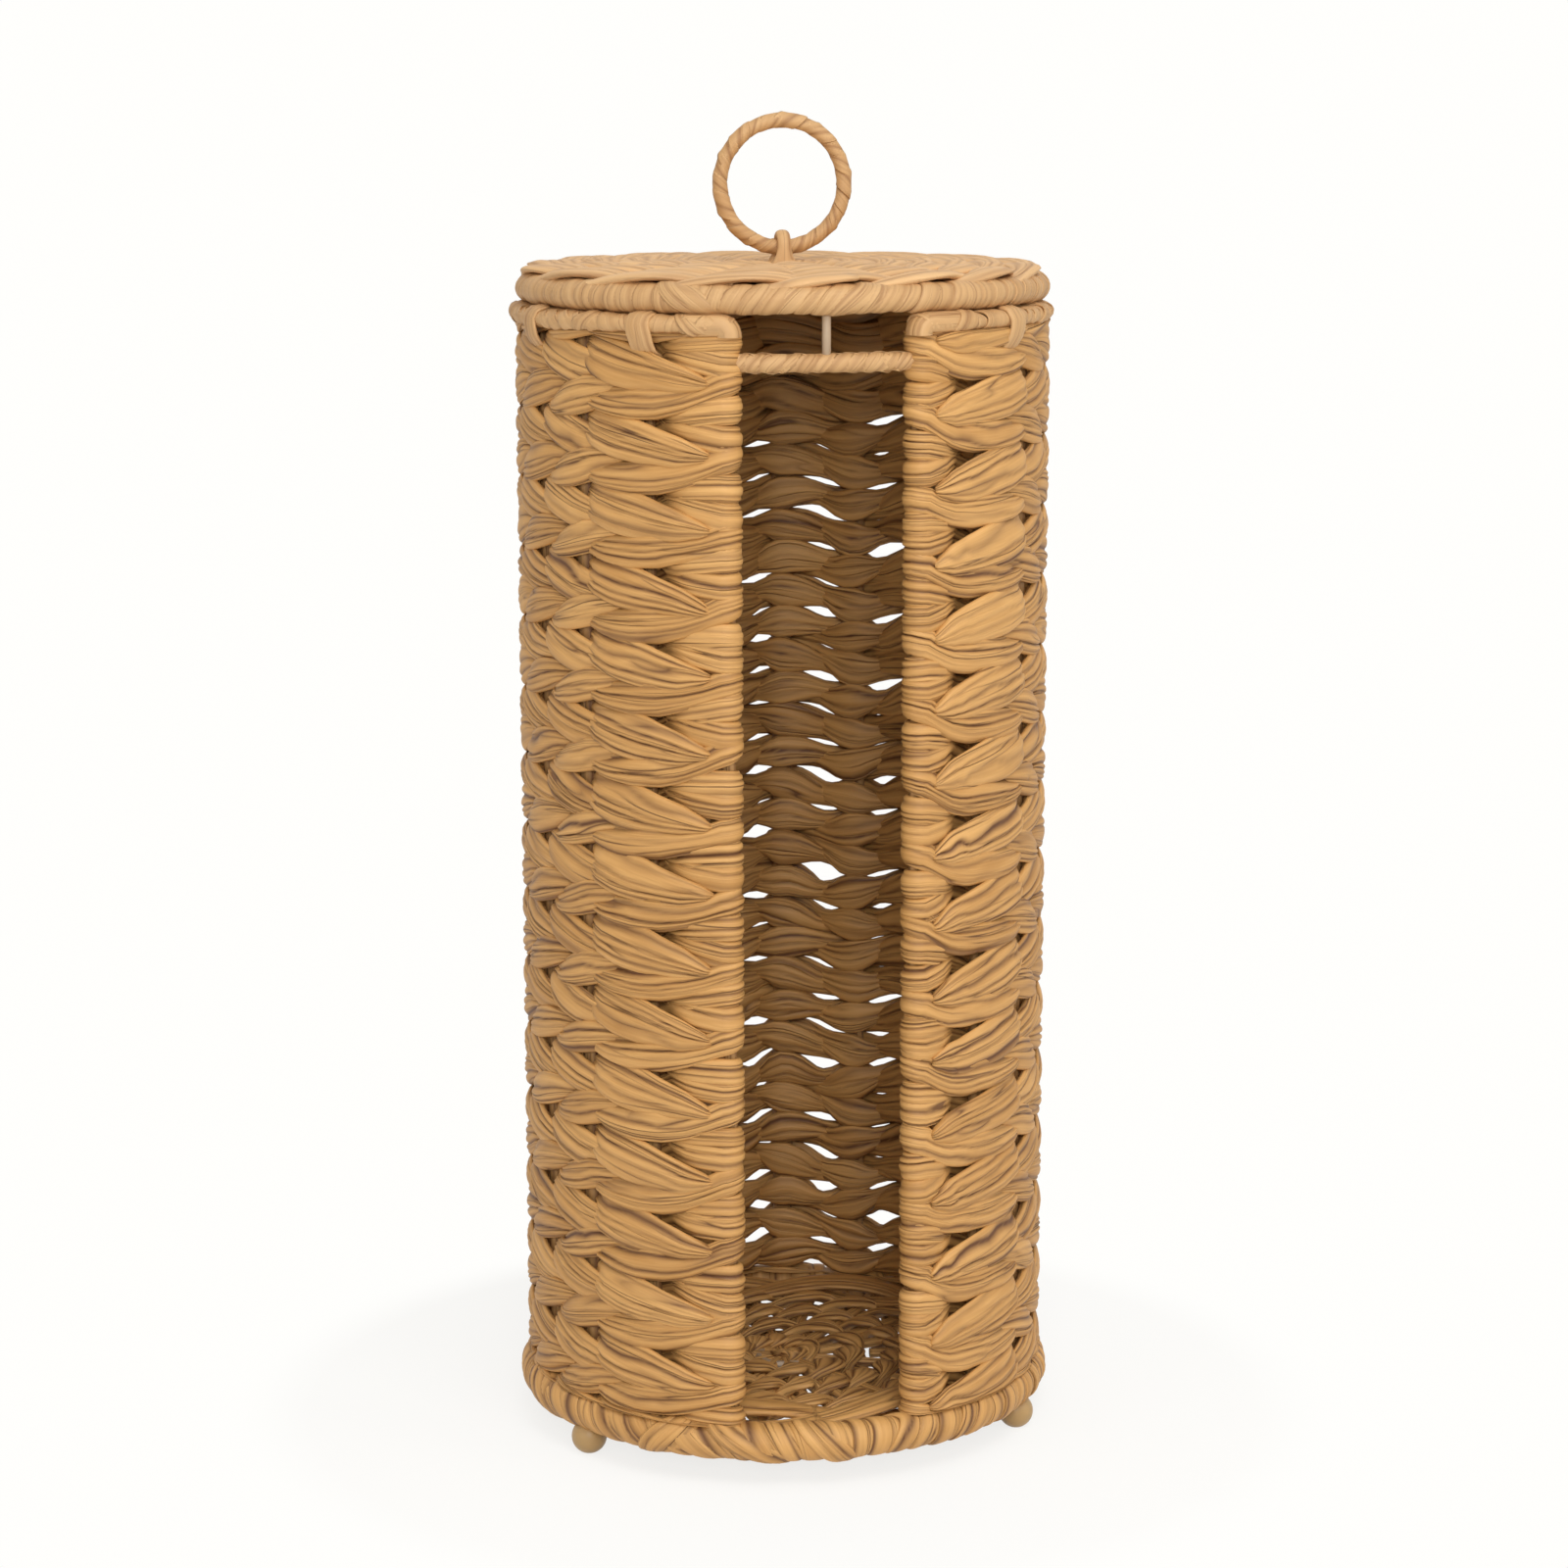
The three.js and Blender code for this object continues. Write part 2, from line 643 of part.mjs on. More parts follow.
const lid = new THREE.Group();
lid.position.z = lidRimZ;
const lidRing = ring(lidRim.circle, wireRadius, wireRadius, 0, wireSides);
addMesh(lid, 'lid_ring_wire', lidRing, wireMaterial);
addMesh(lid, 'lid_rim_wrap', geometryOf(lidRimWrap()), wrapMaterial);
addMesh(lid, 'lid_weave', geometryOf(lidWeave()), strandMaterial);
const lidHub = ring(hubRadius, wireRadius, wireRadius, lidRise, wireSides, hubSegments);
addMesh(lid, 'lid_hub_ring', lidHub, wireMaterial);
lidSpokeAngles.forEach((angle, i) => {
  const rod = lidSpoke(spokeStart, lidSpokeEnd, wireRadius);
  addMesh(lid, `lid_spoke_${String(i + 1).padStart(2, '0')}`, rod, wireMaterial).rotation.z = angle;
});
addMesh(lid, 'handle_staple', geometryOf(handleStaple()), wrapMaterial);

const handle = new THREE.Group();
handle.position.z = handlePivotZ;
addMesh(handle, 'handle_ring_wire', handleRing(wireRadius, wireSides), wireMaterial);
addMesh(handle, 'handle_ring_wrap', geometryOf(handleRingWrap()), wrapMaterial);
lid.add(handle);

const paperBasket = new THREE.Group();
paperBasket.add(basket, lid);

export default paperBasket;
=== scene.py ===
import math
import bpy
import numpy as np
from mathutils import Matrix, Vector


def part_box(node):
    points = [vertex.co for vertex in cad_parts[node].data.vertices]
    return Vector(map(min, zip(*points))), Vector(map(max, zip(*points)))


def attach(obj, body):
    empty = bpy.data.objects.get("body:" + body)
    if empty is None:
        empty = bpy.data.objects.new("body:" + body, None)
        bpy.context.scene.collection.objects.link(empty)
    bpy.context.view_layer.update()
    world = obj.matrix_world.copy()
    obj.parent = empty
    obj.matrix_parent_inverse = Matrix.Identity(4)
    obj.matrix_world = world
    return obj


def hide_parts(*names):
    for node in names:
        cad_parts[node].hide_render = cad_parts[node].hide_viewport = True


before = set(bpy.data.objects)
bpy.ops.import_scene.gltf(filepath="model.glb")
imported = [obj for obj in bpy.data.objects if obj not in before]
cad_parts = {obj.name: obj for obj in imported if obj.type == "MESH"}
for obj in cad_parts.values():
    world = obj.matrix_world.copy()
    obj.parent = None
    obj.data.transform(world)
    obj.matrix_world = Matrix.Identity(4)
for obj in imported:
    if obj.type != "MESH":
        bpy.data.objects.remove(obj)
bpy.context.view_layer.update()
mm = 0.001
fullTurn = 2 * math.pi
up = np.array([0.0, 0, 1])
print("frame loaded:", len(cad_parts), "pieces")

# Places read from the frame. Angles run from the slot's middle (-Y) towards +X, round the back.


def boxOf(node):
    low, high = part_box(node)
    return np.array(low), np.array(high)


def middle(node):
    low, high = boxOf(node)
    return (low + high) / 2


def angleOf(node):
    x, y, _ = middle(node)
    return math.atan2(x, -y)


wallLow, wallHigh = boxOf("wall_weave")
rightPost = middle("slot_post_right")
stakeCircle = math.hypot(rightPost[0], rightPost[1])
postAngle = angleOf("slot_post_right")
stakeCount = sum(name.startswith("stake_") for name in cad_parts)
gapCount = stakeCount + 1
stakePitch = (fullTurn - 2 * postAngle) / gapCount
pitchLength = stakePitch * stakeCircle


# Helpers on whole arrays


def blendStep(x):
    # 0 below 0, 1 above 1, and 3x^2 - 2x^3 between
    x = np.clip(x, 0, 1)
    return x * x * (3 - 2 * x)


def mix(a, b, amount):
    # a at amount 0, b at amount 1, and a straight line through both
    return a + (b - a) * amount


def unit(vectors):
    return vectors / np.linalg.norm(vectors, axis=-1, keepdims=True)


def tangents(centre, joined):
    # Unit directions along (..., steps, 3) paths, closed or open
    if joined:
        return unit(np.roll(centre, -1, -2) - np.roll(centre, 1, -2))
    return unit(np.gradient(centre, axis=-2))


def directions(angle):
    # Unit vectors at each angle: away from the basket's axis, and onwards round it
    level = np.zeros(angle.shape)
    radial = np.stack([np.sin(angle), -np.cos(angle), level], -1)
    ahead = np.stack([np.cos(angle), np.sin(angle), level], -1)
    return radial, ahead


def roundAxis(angle, radius, height):
    # Points round the basket's axis
    return np.stack([radius * np.sin(angle), -radius * np.cos(angle), height], -1)


def alongKnots(x, knots):
    # Straight lines between knots (place: value)
    return np.interp(x, list(knots), list(knots.values()))


def roundTheRing(angle, knots):
    # The same for knots in degrees round a ring
    return np.interp(np.degrees(angle), list(knots), list(knots.values()), period=360)


cycleTable = {
    "step": 0.01,  # pitches from one place in the table to the next
    "rounding": 0.14,  # pitches that the average reaches either way
}


def cycleCurve(x, knots):
    # Straight lines between knots (place: value) that repeat every 2 stake pitches, rounded by a moving
    # average and read from a table
    dense = np.arange(0, 2, cycleTable["step"])
    line = np.interp(dense, list(knots), list(knots.values()), period=2)
    window = np.hanning(2 * round(cycleTable["rounding"] / cycleTable["step"]) + 1)
    window /= window.sum()
    reach = len(window) // 2
    padded = np.concatenate([line[-reach:], line, line[:reach]])
    return np.interp(x, dense, np.convolve(padded, window, "valid"), period=2)


wanderSines = {
    "shares": (1.0, 0.6, 0.35),  # size and length of each sine, as shares of the longest one's
    "waves": (0.7, 1.4),  # least and most waves in one length
}


def wander(rng, x, count, length, size):
    # Slow random drift for each of count strands: the sum of sines of x with random waves and starts, which
    # stays within size
    total = np.zeros((count,) + np.shape(x))
    fit = (slice(None),) + (None,) * np.ndim(x)
    for share in wanderSines["shares"]:
        waves = rng.uniform(*wanderSines["waves"], count)[fit] * fullTurn / (length * share)
        start = rng.uniform(0, fullTurn, count)[fit]
        total += share * np.sin(waves * x + start)
    return total * size / sum(wanderSines["shares"])


# Meshes from grids


def tubeQuads(count, steps, around, joined):
    # Quads of count tubes, each a grid of steps rings with around points. The ends are joined into
    # a closed loop, or each end is zipped shut across its ring.
    ring = np.arange(around)
    nextRing = (ring + 1) % around
    step = np.arange(steps if joined else steps - 1)[:, None] * around
    nextStep = (step + around) % (steps * around)
    quads = np.stack([step + ring, nextStep + ring, nextStep + nextRing, step + nextRing], -1).reshape(-1, 4)
    if not joined:
        half = np.arange(around // 2 - 1)
        cap = np.stack([half, half + 1, around - 2 - half, around - 1 - half], -1)
        quads = np.concatenate([quads, cap, (steps - 1) * around + cap[:, ::-1]])
    return (np.arange(count)[:, None, None] * steps * around + quads).reshape(-1, 4)


def addObject(name, data):
    # A mesh, lamp or camera as an object in the scene
    made = bpy.data.objects.new(name, data)
    bpy.context.scene.collection.objects.link(made)
    return made


def newPiece(name, points, quads, material, marks=None, uv=None):
    # One mesh object at the origin: points in metres, quads, number marks and a UV place for each point
    mesh = bpy.data.meshes.new(name)
    flat = np.asarray(points, np.float32).reshape(-1, 3)
    mesh.vertices.add(len(flat))
    mesh.vertices.foreach_set("co", flat.ravel())
    mesh.loops.add(quads.size)
    mesh.loops.foreach_set("vertex_index", quads.astype(np.int32).ravel())
    mesh.polygons.add(len(quads))
    mesh.polygons.foreach_set("loop_start", np.arange(0, quads.size, 4, dtype=np.int32))
    mesh.update(calc_edges=True)
    mesh.shade_smooth()
    for mark, values in (marks or {}).items():
        layer = mesh.attributes.new(mark, "FLOAT", "POINT")
        layer.data.foreach_set("value", np.asarray(values, np.float32).ravel())
    if uv is not None:
        layer = mesh.uv_layers.new(name="along")
        layer.data.foreach_set("uv", np.asarray(uv, np.float32).reshape(-1, 2)[quads.ravel()].ravel())
    mesh.materials.append(material)
    return addObject(name, mesh)


ribbonSection = {
    "facePoints": 28,  # across the outer face
    "backPoints": 14,
    "edgeGather": 0.45,  # 0 spreads these points evenly, more gathers them towards the edges
    "edgeFullness": 2.25,  # 2 gives an ellipse, more a flatter face
    "valleySharpness": 2.6,
    "valleyTable": 9,  # random valley depths and fold tones for each strand
    "valleyFirst": 3,  # place in that table of the fold at a strand's edge
    "valleyLeast": 0.25,  # of the deepest valley
    "domeShare": 0.35,  # of a fold's height stands above the plain section, the rest is sunk into it
    "foldedFrom": 1.2 * mm,  # half thickness with room for folds of full height
    "foldTone": 0.25,  # how far a fold's shade may lie from its strand's
    "uneven": (0.05, 0.12),  # how unevenly folds share the width, least and most
    "driftLength": 50 * mm,
    "drift": 0.3,  # folds that the valleys wander to either side
    "patternLength": 100 * mm,  # of strand to one unit of the UV map
    "patternStart": 40,  # units, the furthest that a strand's pattern may begin
}


def ribbonMesh(centre, out, look, rng, width=None, half=None, ridges=None, lean=0.0, bend=0.0, tone=None,
               joined=False, section=ribbonSection):
    # Ribbons along paths. centre is a (strands, steps, 3) array, out points to the outer side and fits it,
    # and the rest fits (strands, steps); width, half and ridges are the look's own if they aren't given. The
    # section is a flat closed curve, width across and 2 * half thick. Its outer face carries lengthwise
    # folds: low domes with a sharp valley between two. lane counts them across the face; they drift by
    # 4 * place * (1 - place), so most in its middle. lean tips one edge outwards, and bend is the curvature
    # across the ribbon: a point at x across sinks by bend * x^2 / 2.
    # Returns points, marks for the material and UV places (length, place across), on the back 2 further.
    count, steps = centre.shape[:2]
    along = tangents(centre, joined)
    across = unit(np.cross(along, out))
    out = np.cross(across, along)
    face = np.linspace(1, -1, section["facePoints"])
    back = np.linspace(-1, 1, section["backPoints"] + 2)[1:-1]
    x = np.concatenate([face, back])
    xi = (1 - section["edgeGather"]) * x + section["edgeGather"] * np.sin(x * math.pi / 2)
    side = np.concatenate([np.ones(len(face)), -np.ones(len(back))])
    body = (1 - np.abs(xi) ** section["edgeFullness"]) ** 0.5
    stretches = np.linalg.norm(np.diff(centre, axis=1), axis=-1)
    travelled = np.concatenate([np.zeros((count, 1)), np.cumsum(stretches, axis=1)], axis=1)
    width = look["width"] if width is None else width
    half = look["half"] if half is None else half
    ridges = look["ridges"] if ridges is None else ridges
    tone = rng.uniform(0, 1, (count, 1)) if tone is None else tone
    width, half, ridges, tone, lean, bend = (np.broadcast_to(value, (count, steps))[..., None]
                                             for value in (width, half, ridges, tone, lean, bend))
    drift = wander(rng, travelled[0], count, section["driftLength"], section["drift"])[..., None]
    start = rng.uniform(0, 1, (count, 1, 1))
    uneven = rng.uniform(*section["uneven"], (count, 1, 1))
    place = (xi + 1) / 2
    place = place + uneven * np.sin(fullTurn * (place + start))
    lane = place * ridges + start + drift * place * (1 - place) * 4 + section["valleyFirst"]
    strandIndex = np.arange(count)[:, None, None]
    table = section["valleyTable"]
    valley = rng.uniform(section["valleyLeast"], 1, (count, table))
    valley = valley[strandIndex, np.round(lane).astype(int) % table]
    foldTone = rng.uniform(-1, 1, (count, table))[strandIndex, np.floor(lane).astype(int) % table]
    # crease, the depth of the valleys, shapes the folds and is also the mark by which the material paints
    # shade into the valleys
    crease = valley * np.abs(2 * (lane % 1) - 1) ** section["valleySharpness"]
    sideways = xi * width / 2
    room = np.clip(half / section["foldedFrom"], 0, 1)
    folds = look["ridgeHeight"] * room * (section["domeShare"] - crease)
    lift = side * body * (half + folds) + lean * xi - bend * sideways ** 2 / 2
    points = centre[:, :, None] + across[:, :, None] * sideways[..., None] + out[:, :, None] * lift[..., None]
    patternStart = rng.uniform(0, section["patternStart"], (count, 1, 1))
    lengthwise = travelled[..., None] / section["patternLength"] + patternStart
    uv = np.stack(np.broadcast_arrays(lengthwise, place + 2 * (side < 0)), -1)
    return points, {"crease": crease, "tone": tone + section["foldTone"] * foldTone}, uv


def dress(piece, body, node=None):
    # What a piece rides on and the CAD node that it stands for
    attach(piece, body)
    if node:
        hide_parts(node)


def ribbonPiece(name, parts, material, body, node=None, joined=False):
    # One piece from several ribbonMesh results
    quads = []
    first = 0
    for points, _, _ in parts:
        quads.append(first + tubeQuads(*points.shape[:3], joined))
        first += points[..., 0].size
    points = np.concatenate([part[0].reshape(-1, 3) for part in parts])
    marks = {}
    for mark in parts[0][1]:
        values = [np.broadcast_to(part[1][mark], part[0].shape[:3]).ravel() for part in parts]
        marks[mark] = np.concatenate(values)
    uv = np.concatenate([part[2].reshape(-1, 2) for part in parts])
    dress(newPiece(name, points, np.concatenate(quads), material, marks, uv), body, node)


# Shader maths


class Flow:
    # One output socket. Arithmetic on it adds Math nodes; node() adds any other node. A value for an input
    # is a number, a Flow or None for the input's own, and a pair (input, value) names the input.
    def __init__(self, tree, socket):
        self.tree = tree
        self.socket = socket

    def into(self, end):
        self.tree.links.new(self.socket, end)

    def math(self, operation, *values):
        return self.node("ShaderNodeMath", {"operation": operation}, *values)

    def node(self, kind, settings, *values, output=0):
        made = self.tree.nodes.new(kind)
        for name, value in settings.items():
            setattr(made, name, value)
        for index, value in enumerate(values):
            if isinstance(value, tuple) and len(value) == 2 and isinstance(value[0], (str, int)):
                index, value = value
            if isinstance(value, Flow):
                value.into(made.inputs[index])
            elif value is not None:
                made.inputs[index].default_value = value
        return Flow(self.tree, made.outputs[output])

    def __add__(self, other):
        return self.math("ADD", self, other)

    def __radd__(self, other):
        return self.math("ADD", other, self)

    def __sub__(self, other):
        return self.math("SUBTRACT", self, other)

    def __rsub__(self, other):
        return self.math("SUBTRACT", other, self)

    def __mul__(self, other):
        return self.math("MULTIPLY", self, other)

    def __rmul__(self, other):
        return self.math("MULTIPLY", other, self)


def newMaterial(name, roughness):
    material = bpy.data.materials.new(name)
    material.use_nodes = True
    shader = material.node_tree.nodes["Principled BSDF"]
    shader.inputs["Roughness"].default_value = roughness
    return material, shader, Flow(material.node_tree, None)


def mixColours(flow, amount, a, b):
    # Inputs 6 and 7 and output 2 of the Mix node are its colours
    return flow.node("ShaderNodeMix", {"data_type": "RGBA"}, (0, amount), (6, a), (7, b), output=2)


strandLook = {
    "light": (0.69, 0.378, 0.124, 1),
    "mid": (0.485, 0.238, 0.062, 1),
    # colour of the painted shade in the fold valleys and crease lines
    "crease": (0.12, 0.042, 0.009, 1),
    "roughness": 0.6,
    # Noise: waves to a unit of the UV map along the strand, waves across it, and detail
    "fibres": (6, 26.0, 2.0),
    "patches": (5, 5, 2.0),
    "lineStrength": (2.5, 4, 1.0),
    "lineDrift": (1.6, 2.2, 1.0),
    "foldLines": 3.6,  # fine crease lines across a strand, on top of its modelled folds
    "foldDrift": 3.4,
    # darkness of the painted shade in the crease lines
    "foldLineShade": 0.9,
    "lineSharpness": 5.0,
    "lineGain": 3.2,  # a line shows as lineStrength * lineGain - lineSpared, from 0 to 1
    "lineSpared": 1.1,
    "lineRounding": 0.3,
    # darkness of the painted shade in the fold valleys
    "creaseShade": 1.25,
    "fibreShade": 0.9,  # how much the fibres, the patches and a strand's own tone lighten it
    "patchShade": 0.8,
    "toneShade": 0.45,
    "baseShade": 0.3,
    "fibreHeight": 0.35,  # of the depth of a crease line
    "bump": 0.75,
    "bumpHeight": 0.6 * mm,
}
# Lighter copies of the strand colour, with lighter creases, as painted light from above: the first for the
# lid's top, the next for the top rim, crossbar and lid rim, and the last, with the same colours, for the
# handle and staple
litPaleLook = dict(strandLook, light=(0.74, 0.46, 0.215, 1), mid=(0.61, 0.35, 0.15, 1),
                crease=(0.26, 0.11, 0.035, 1), foldLines=3.0, foldLineShade=0.6, creaseShade=0.85,
                fibres=(6, 18.0, 2.0), bump=0.45)
litRimLook = dict(litPaleLook, light=(0.64, 0.39, 0.175, 1), mid=(0.52, 0.29, 0.115, 1))
litSmoothLook = dict(litRimLook, foldLines=2.0, foldDrift=1.6, fibres=(6, 8.0, 2.0), bump=0.2)
# A darker copy for the stake strips: painted shade where they show in the wall's holes
shadedLeafLook = dict(strandLook, creaseShade=1.0, light=(0.5, 0.28, 0.1, 1), mid=(0.38, 0.19, 0.06, 1))


def strandMaterial(name, look):
    # Dried leaf: fine fibres and crease lines run along the strand. The valleys between its folds and the
    # crease lines are darker: painted shade, mixed towards the crease colour.
    # A crease line lies where (place across * foldLines + slow noise * foldDrift) passes a whole number.
    material, shader, flow = newMaterial(name, look["roughness"])
    place = flow.node("ShaderNodeUVMap", {"uv_map": "along"})
    across = flow.node("ShaderNodeSeparateXYZ", {}, place, output=1)
    crease = flow.node("ShaderNodeAttribute", {"attribute_name": "crease"}, output=2)
    tone = flow.node("ShaderNodeAttribute", {"attribute_name": "tone"}, output=2)

    def stretchedNoise(lengthwise, crosswise, detail):
        scale = (lengthwise, crosswise, 1)
        spread = flow.node("ShaderNodeMapping", {}, ("Vector", place), ("Scale", scale))
        return flow.node("ShaderNodeTexNoise", {"noise_dimensions": "2D"},
                         ("Vector", spread), ("Scale", 1.0), ("Detail", detail))

    fibres = stretchedNoise(*look["fibres"])
    patches = stretchedNoise(*look["patches"])
    strength = stretchedNoise(*look["lineStrength"])
    drift = stretchedNoise(*look["lineDrift"])
    lane = across * look["foldLines"] + drift * look["foldDrift"]
    fromLine = flow.math("ABSOLUTE", flow.math("FRACT", lane) * 2 - 1)
    shown = strength * look["lineGain"] - look["lineSpared"]
    shown = flow.math("SMOOTH_MAX", shown, 0.0, look["lineRounding"])
    line = flow.math("MINIMUM", flow.math("POWER", fromLine, look["lineSharpness"]) * shown, 1.0)
    pale = (fibres - 0.5) * look["fibreShade"] + (patches - 0.5) * look["patchShade"]
    pale = pale + tone * look["toneShade"] + look["baseShade"]
    pale = flow.math("MINIMUM", flow.math("MAXIMUM", pale, 0.0), 1.0)
    colour = mixColours(flow, pale, look["mid"], look["light"])
    # Painted shade: the fold valleys (crease mark) and the crease lines go towards the dark crease colour
    dark = flow.math("MAXIMUM", crease * look["creaseShade"], line * look["foldLineShade"])
    mixColours(flow, dark, colour, look["crease"]).into(shader.inputs["Base Color"])
    height = fibres * look["fibreHeight"] - line
    bump = flow.node("ShaderNodeBump", {}, ("Strength", look["bump"]), ("Distance", look["bumpHeight"]),
                     ("Height", height))
    bump.into(shader.inputs["Normal"])
    return material


paintLook = {
    "wire": (0.42, 0.3, 0.19, 1),
    "foot": (0.45, 0.28, 0.11, 1),
    "roughness": 0.42,
    "glossVaries": 0.2,
    "speckle": 0.12,  # how much darker a spot is
    "spots": (260.0, 3.0),  # noise scale and detail
    "peel": (1500.0, 1.0),
    "peelBump": 0.25,
    "peelHeight": 0.1 * mm,
}


def paintMaterial(name, colour, look):
    # Satin paint on metal: a little uneven in shade and gloss, with a faint orange peel
    material, shader, flow = newMaterial(name, look["roughness"])
    place = flow.node("ShaderNodeTexCoord", {}, output=3)

    def evenNoise(scale, detail):
        return flow.node("ShaderNodeTexNoise", {}, ("Vector", place), ("Scale", scale), ("Detail", detail))

    spots = evenNoise(*look["spots"])
    peel = evenNoise(*look["peel"])
    darker = tuple(channel * (1 - look["speckle"]) for channel in colour[:3]) + (1,)
    mixColours(flow, spots, darker, colour).into(shader.inputs["Base Color"])
    gloss = spots * look["glossVaries"] + (look["roughness"] - look["glossVaries"] / 2)
    gloss.into(shader.inputs["Roughness"])
    bump = flow.node("ShaderNodeBump", {}, ("Strength", look["peelBump"]), ("Distance", look["peelHeight"]),
                     ("Height", peel))
    bump.into(shader.inputs["Normal"])
    return material


strand = strandMaterial("wovenStrand", strandLook)
# Lighter copies for the lid's top, the upper rims and the handle: painted light from above
litLidStrand = strandMaterial("litLidStrand", litPaleLook)
litRimStrand = strandMaterial("litRimStrand", litRimLook)
litSmoothStrand = strandMaterial("litSmoothStrand", litSmoothLook)
# A darker copy for the stake strips: painted shade in the wall's holes
shadedStakeLeaf = strandMaterial("shadedStakeLeaf", shadedLeafLook)
wirePaint = paintMaterial("wirePaint", paintLook["wire"], paintLook)
footPaint = paintMaterial("footPaint", paintLook["foot"], paintLook)
print("materials made")


# Woven wall: pairs of strands twined round the stakes, row on row, each row slanting the other way.
# Where a row is bold its strands lie broad and steep over the stakes; at its other end they lie quiet.

wall = {
    "seed": 11,
    "chevrons": 15,  # pairs of rows up the wall
    "stepsPerGap": 9,
    "turnSteps": 12,
    "pieces": 5,
    "firstRow": 0.18,  # of a chevron, above the wall's bottom
    "boldSink": 0.09,  # of a chevron: how far a row lies lower where it is bold
    "turnRadius": 3.3 * mm,  # of the half circle round a slot post
    "turnLength": 15.4 * mm,  # of strand round a post and on inside
    "edgeSlant": 2.6,  # millimetres a pitch, how unevenly the strands run round a slot post
    "edgeReach": 0.5,  # pitches
    "rightShift": {0: 0, 0.38: 0.22, 1.6: 0},  # the strokes are shorter at the right slot post
    "lean": 1.3 * mm,  # how far a strand tips as it passes from front to back, so that its ends look slanted
    "leanFrom": 0.55,  # pitches
    "leanOver": 0.4,
    "tipPlace": 0.10,  # pitches from the post where a tucked strand ends
    "tipBend": 0.60,  # and from which it is squeezed together
    "quietFrom": 1.5,  # pitches from its bold end where a row starts to turn quiet
    "quietOver": 3.5,
    "edgeBlend": 0.3,  # pitches over which a strand goes over to its course at a slot post
    "half": 1.6 * mm,  # half thickness at plainWidth; a squeezed strand is thicker, by thicker at no width
    "plainWidth": 10 * mm,
    "thicker": 0.25,
    "broadest": 1.2,  # plain widths, beyond which it grows no thinner
    "tipWidth": 4 * mm,  # a strand narrower than this tapers, down to tipHalf of its thickness
    "tipHalf": 0.25,
    "ridgeHeight": 1.3 * mm,
    "ridges": (2.6, 5.4),
    "heightDrift": 0.8 * mm,
    "heightDriftLength": 9,  # pitches
    "widthDrift": 0.09,
    "widthDriftLength": 5,
    "below": 1.2 * mm,  # how far the pressed strands reach past the wall's bottom and its top
    "above": 2.6 * mm,
    "pressRoom": 2.5 * mm,
}
# Millimetres along one over-and-under cycle; places are in stake pitches from the stake passed in front
boldStroke = {
    "rise": {-0.95: -1.6, -0.8: -1.8, -0.55: -1.0, -0.3: 0.0, 0.0: 1.6, 0.25: 3.6, 0.5: 5.8, 0.7: 7.4,
             0.85: 6.0, 0.95: 2.4},
    "depth": {-1.1: -3.2, -0.95: -2.8, -0.8: -0.8, -0.55: 1.6, -0.3: 3.0, 0.0: 3.8, 0.35: 3.6, 0.6: 2.6,
              0.75: 0.8, 0.88: -2.2},
    "width": {-1.1: 6.4, -0.95: 4.4, -0.8: 4.6, -0.55: 8.0, -0.3: 10.8, 0.0: 12.0, 0.35: 11.6, 0.6: 9.0,
              0.8: 5.2},
}
quietStroke = {
    "rise": {-1.25: -1.0, -1.0: 2.0, -0.57: 2.0, -0.22: 0.5, 0.1: -1.5, 0.4: -3.2, 0.6: -3.4},
    "depth": {-1.2: -3.1, -1.0: -3.1, -0.8: -0.4, -0.57: 2.4, -0.22: 3.4, 0.1: 3.5, 0.35: 2.8, 0.55: 0.8,
              0.68: -1.6},
    "width": {-1.2: 6.4, -1.0: 4.6, -0.8: 5.2, -0.57: 8.4, -0.22: 10.4, 0.1: 10.2, 0.35: 7.8, 0.55: 4.8},
}
# Round the back the strands twine evenly, t pitches from the stake passed in front: height rise * sin(pi t),
# depth * cos(pi t), and the width falls from broad to crossing and back with the square of that cosine.
# Every row dips at each second stake by wave, and between two stakes it is moved by patch or so. Slits open
# where two rows both cross, most in the lowest rows; slits gives the width added to a crossing, by row.
# Millimetres, but from and over are pitches from a slot post, and skew moves crossings by pitches, by u.
evenTwine = {"from": 3.3, "over": 1.6, "rise": 1.2, "depth": 3.3, "wave": 2.0, "broad": 11.6,
             "crossing": (5.2, 8.2), "slits": {0: -1.5, 8: 0.0, 27: 0.0, 29: 5.0}, "patch": 1.1,
             "skew": {6.5: -0.16, 7.5: 0.1, 8.5: 0.3, 10.5: 0.0}}
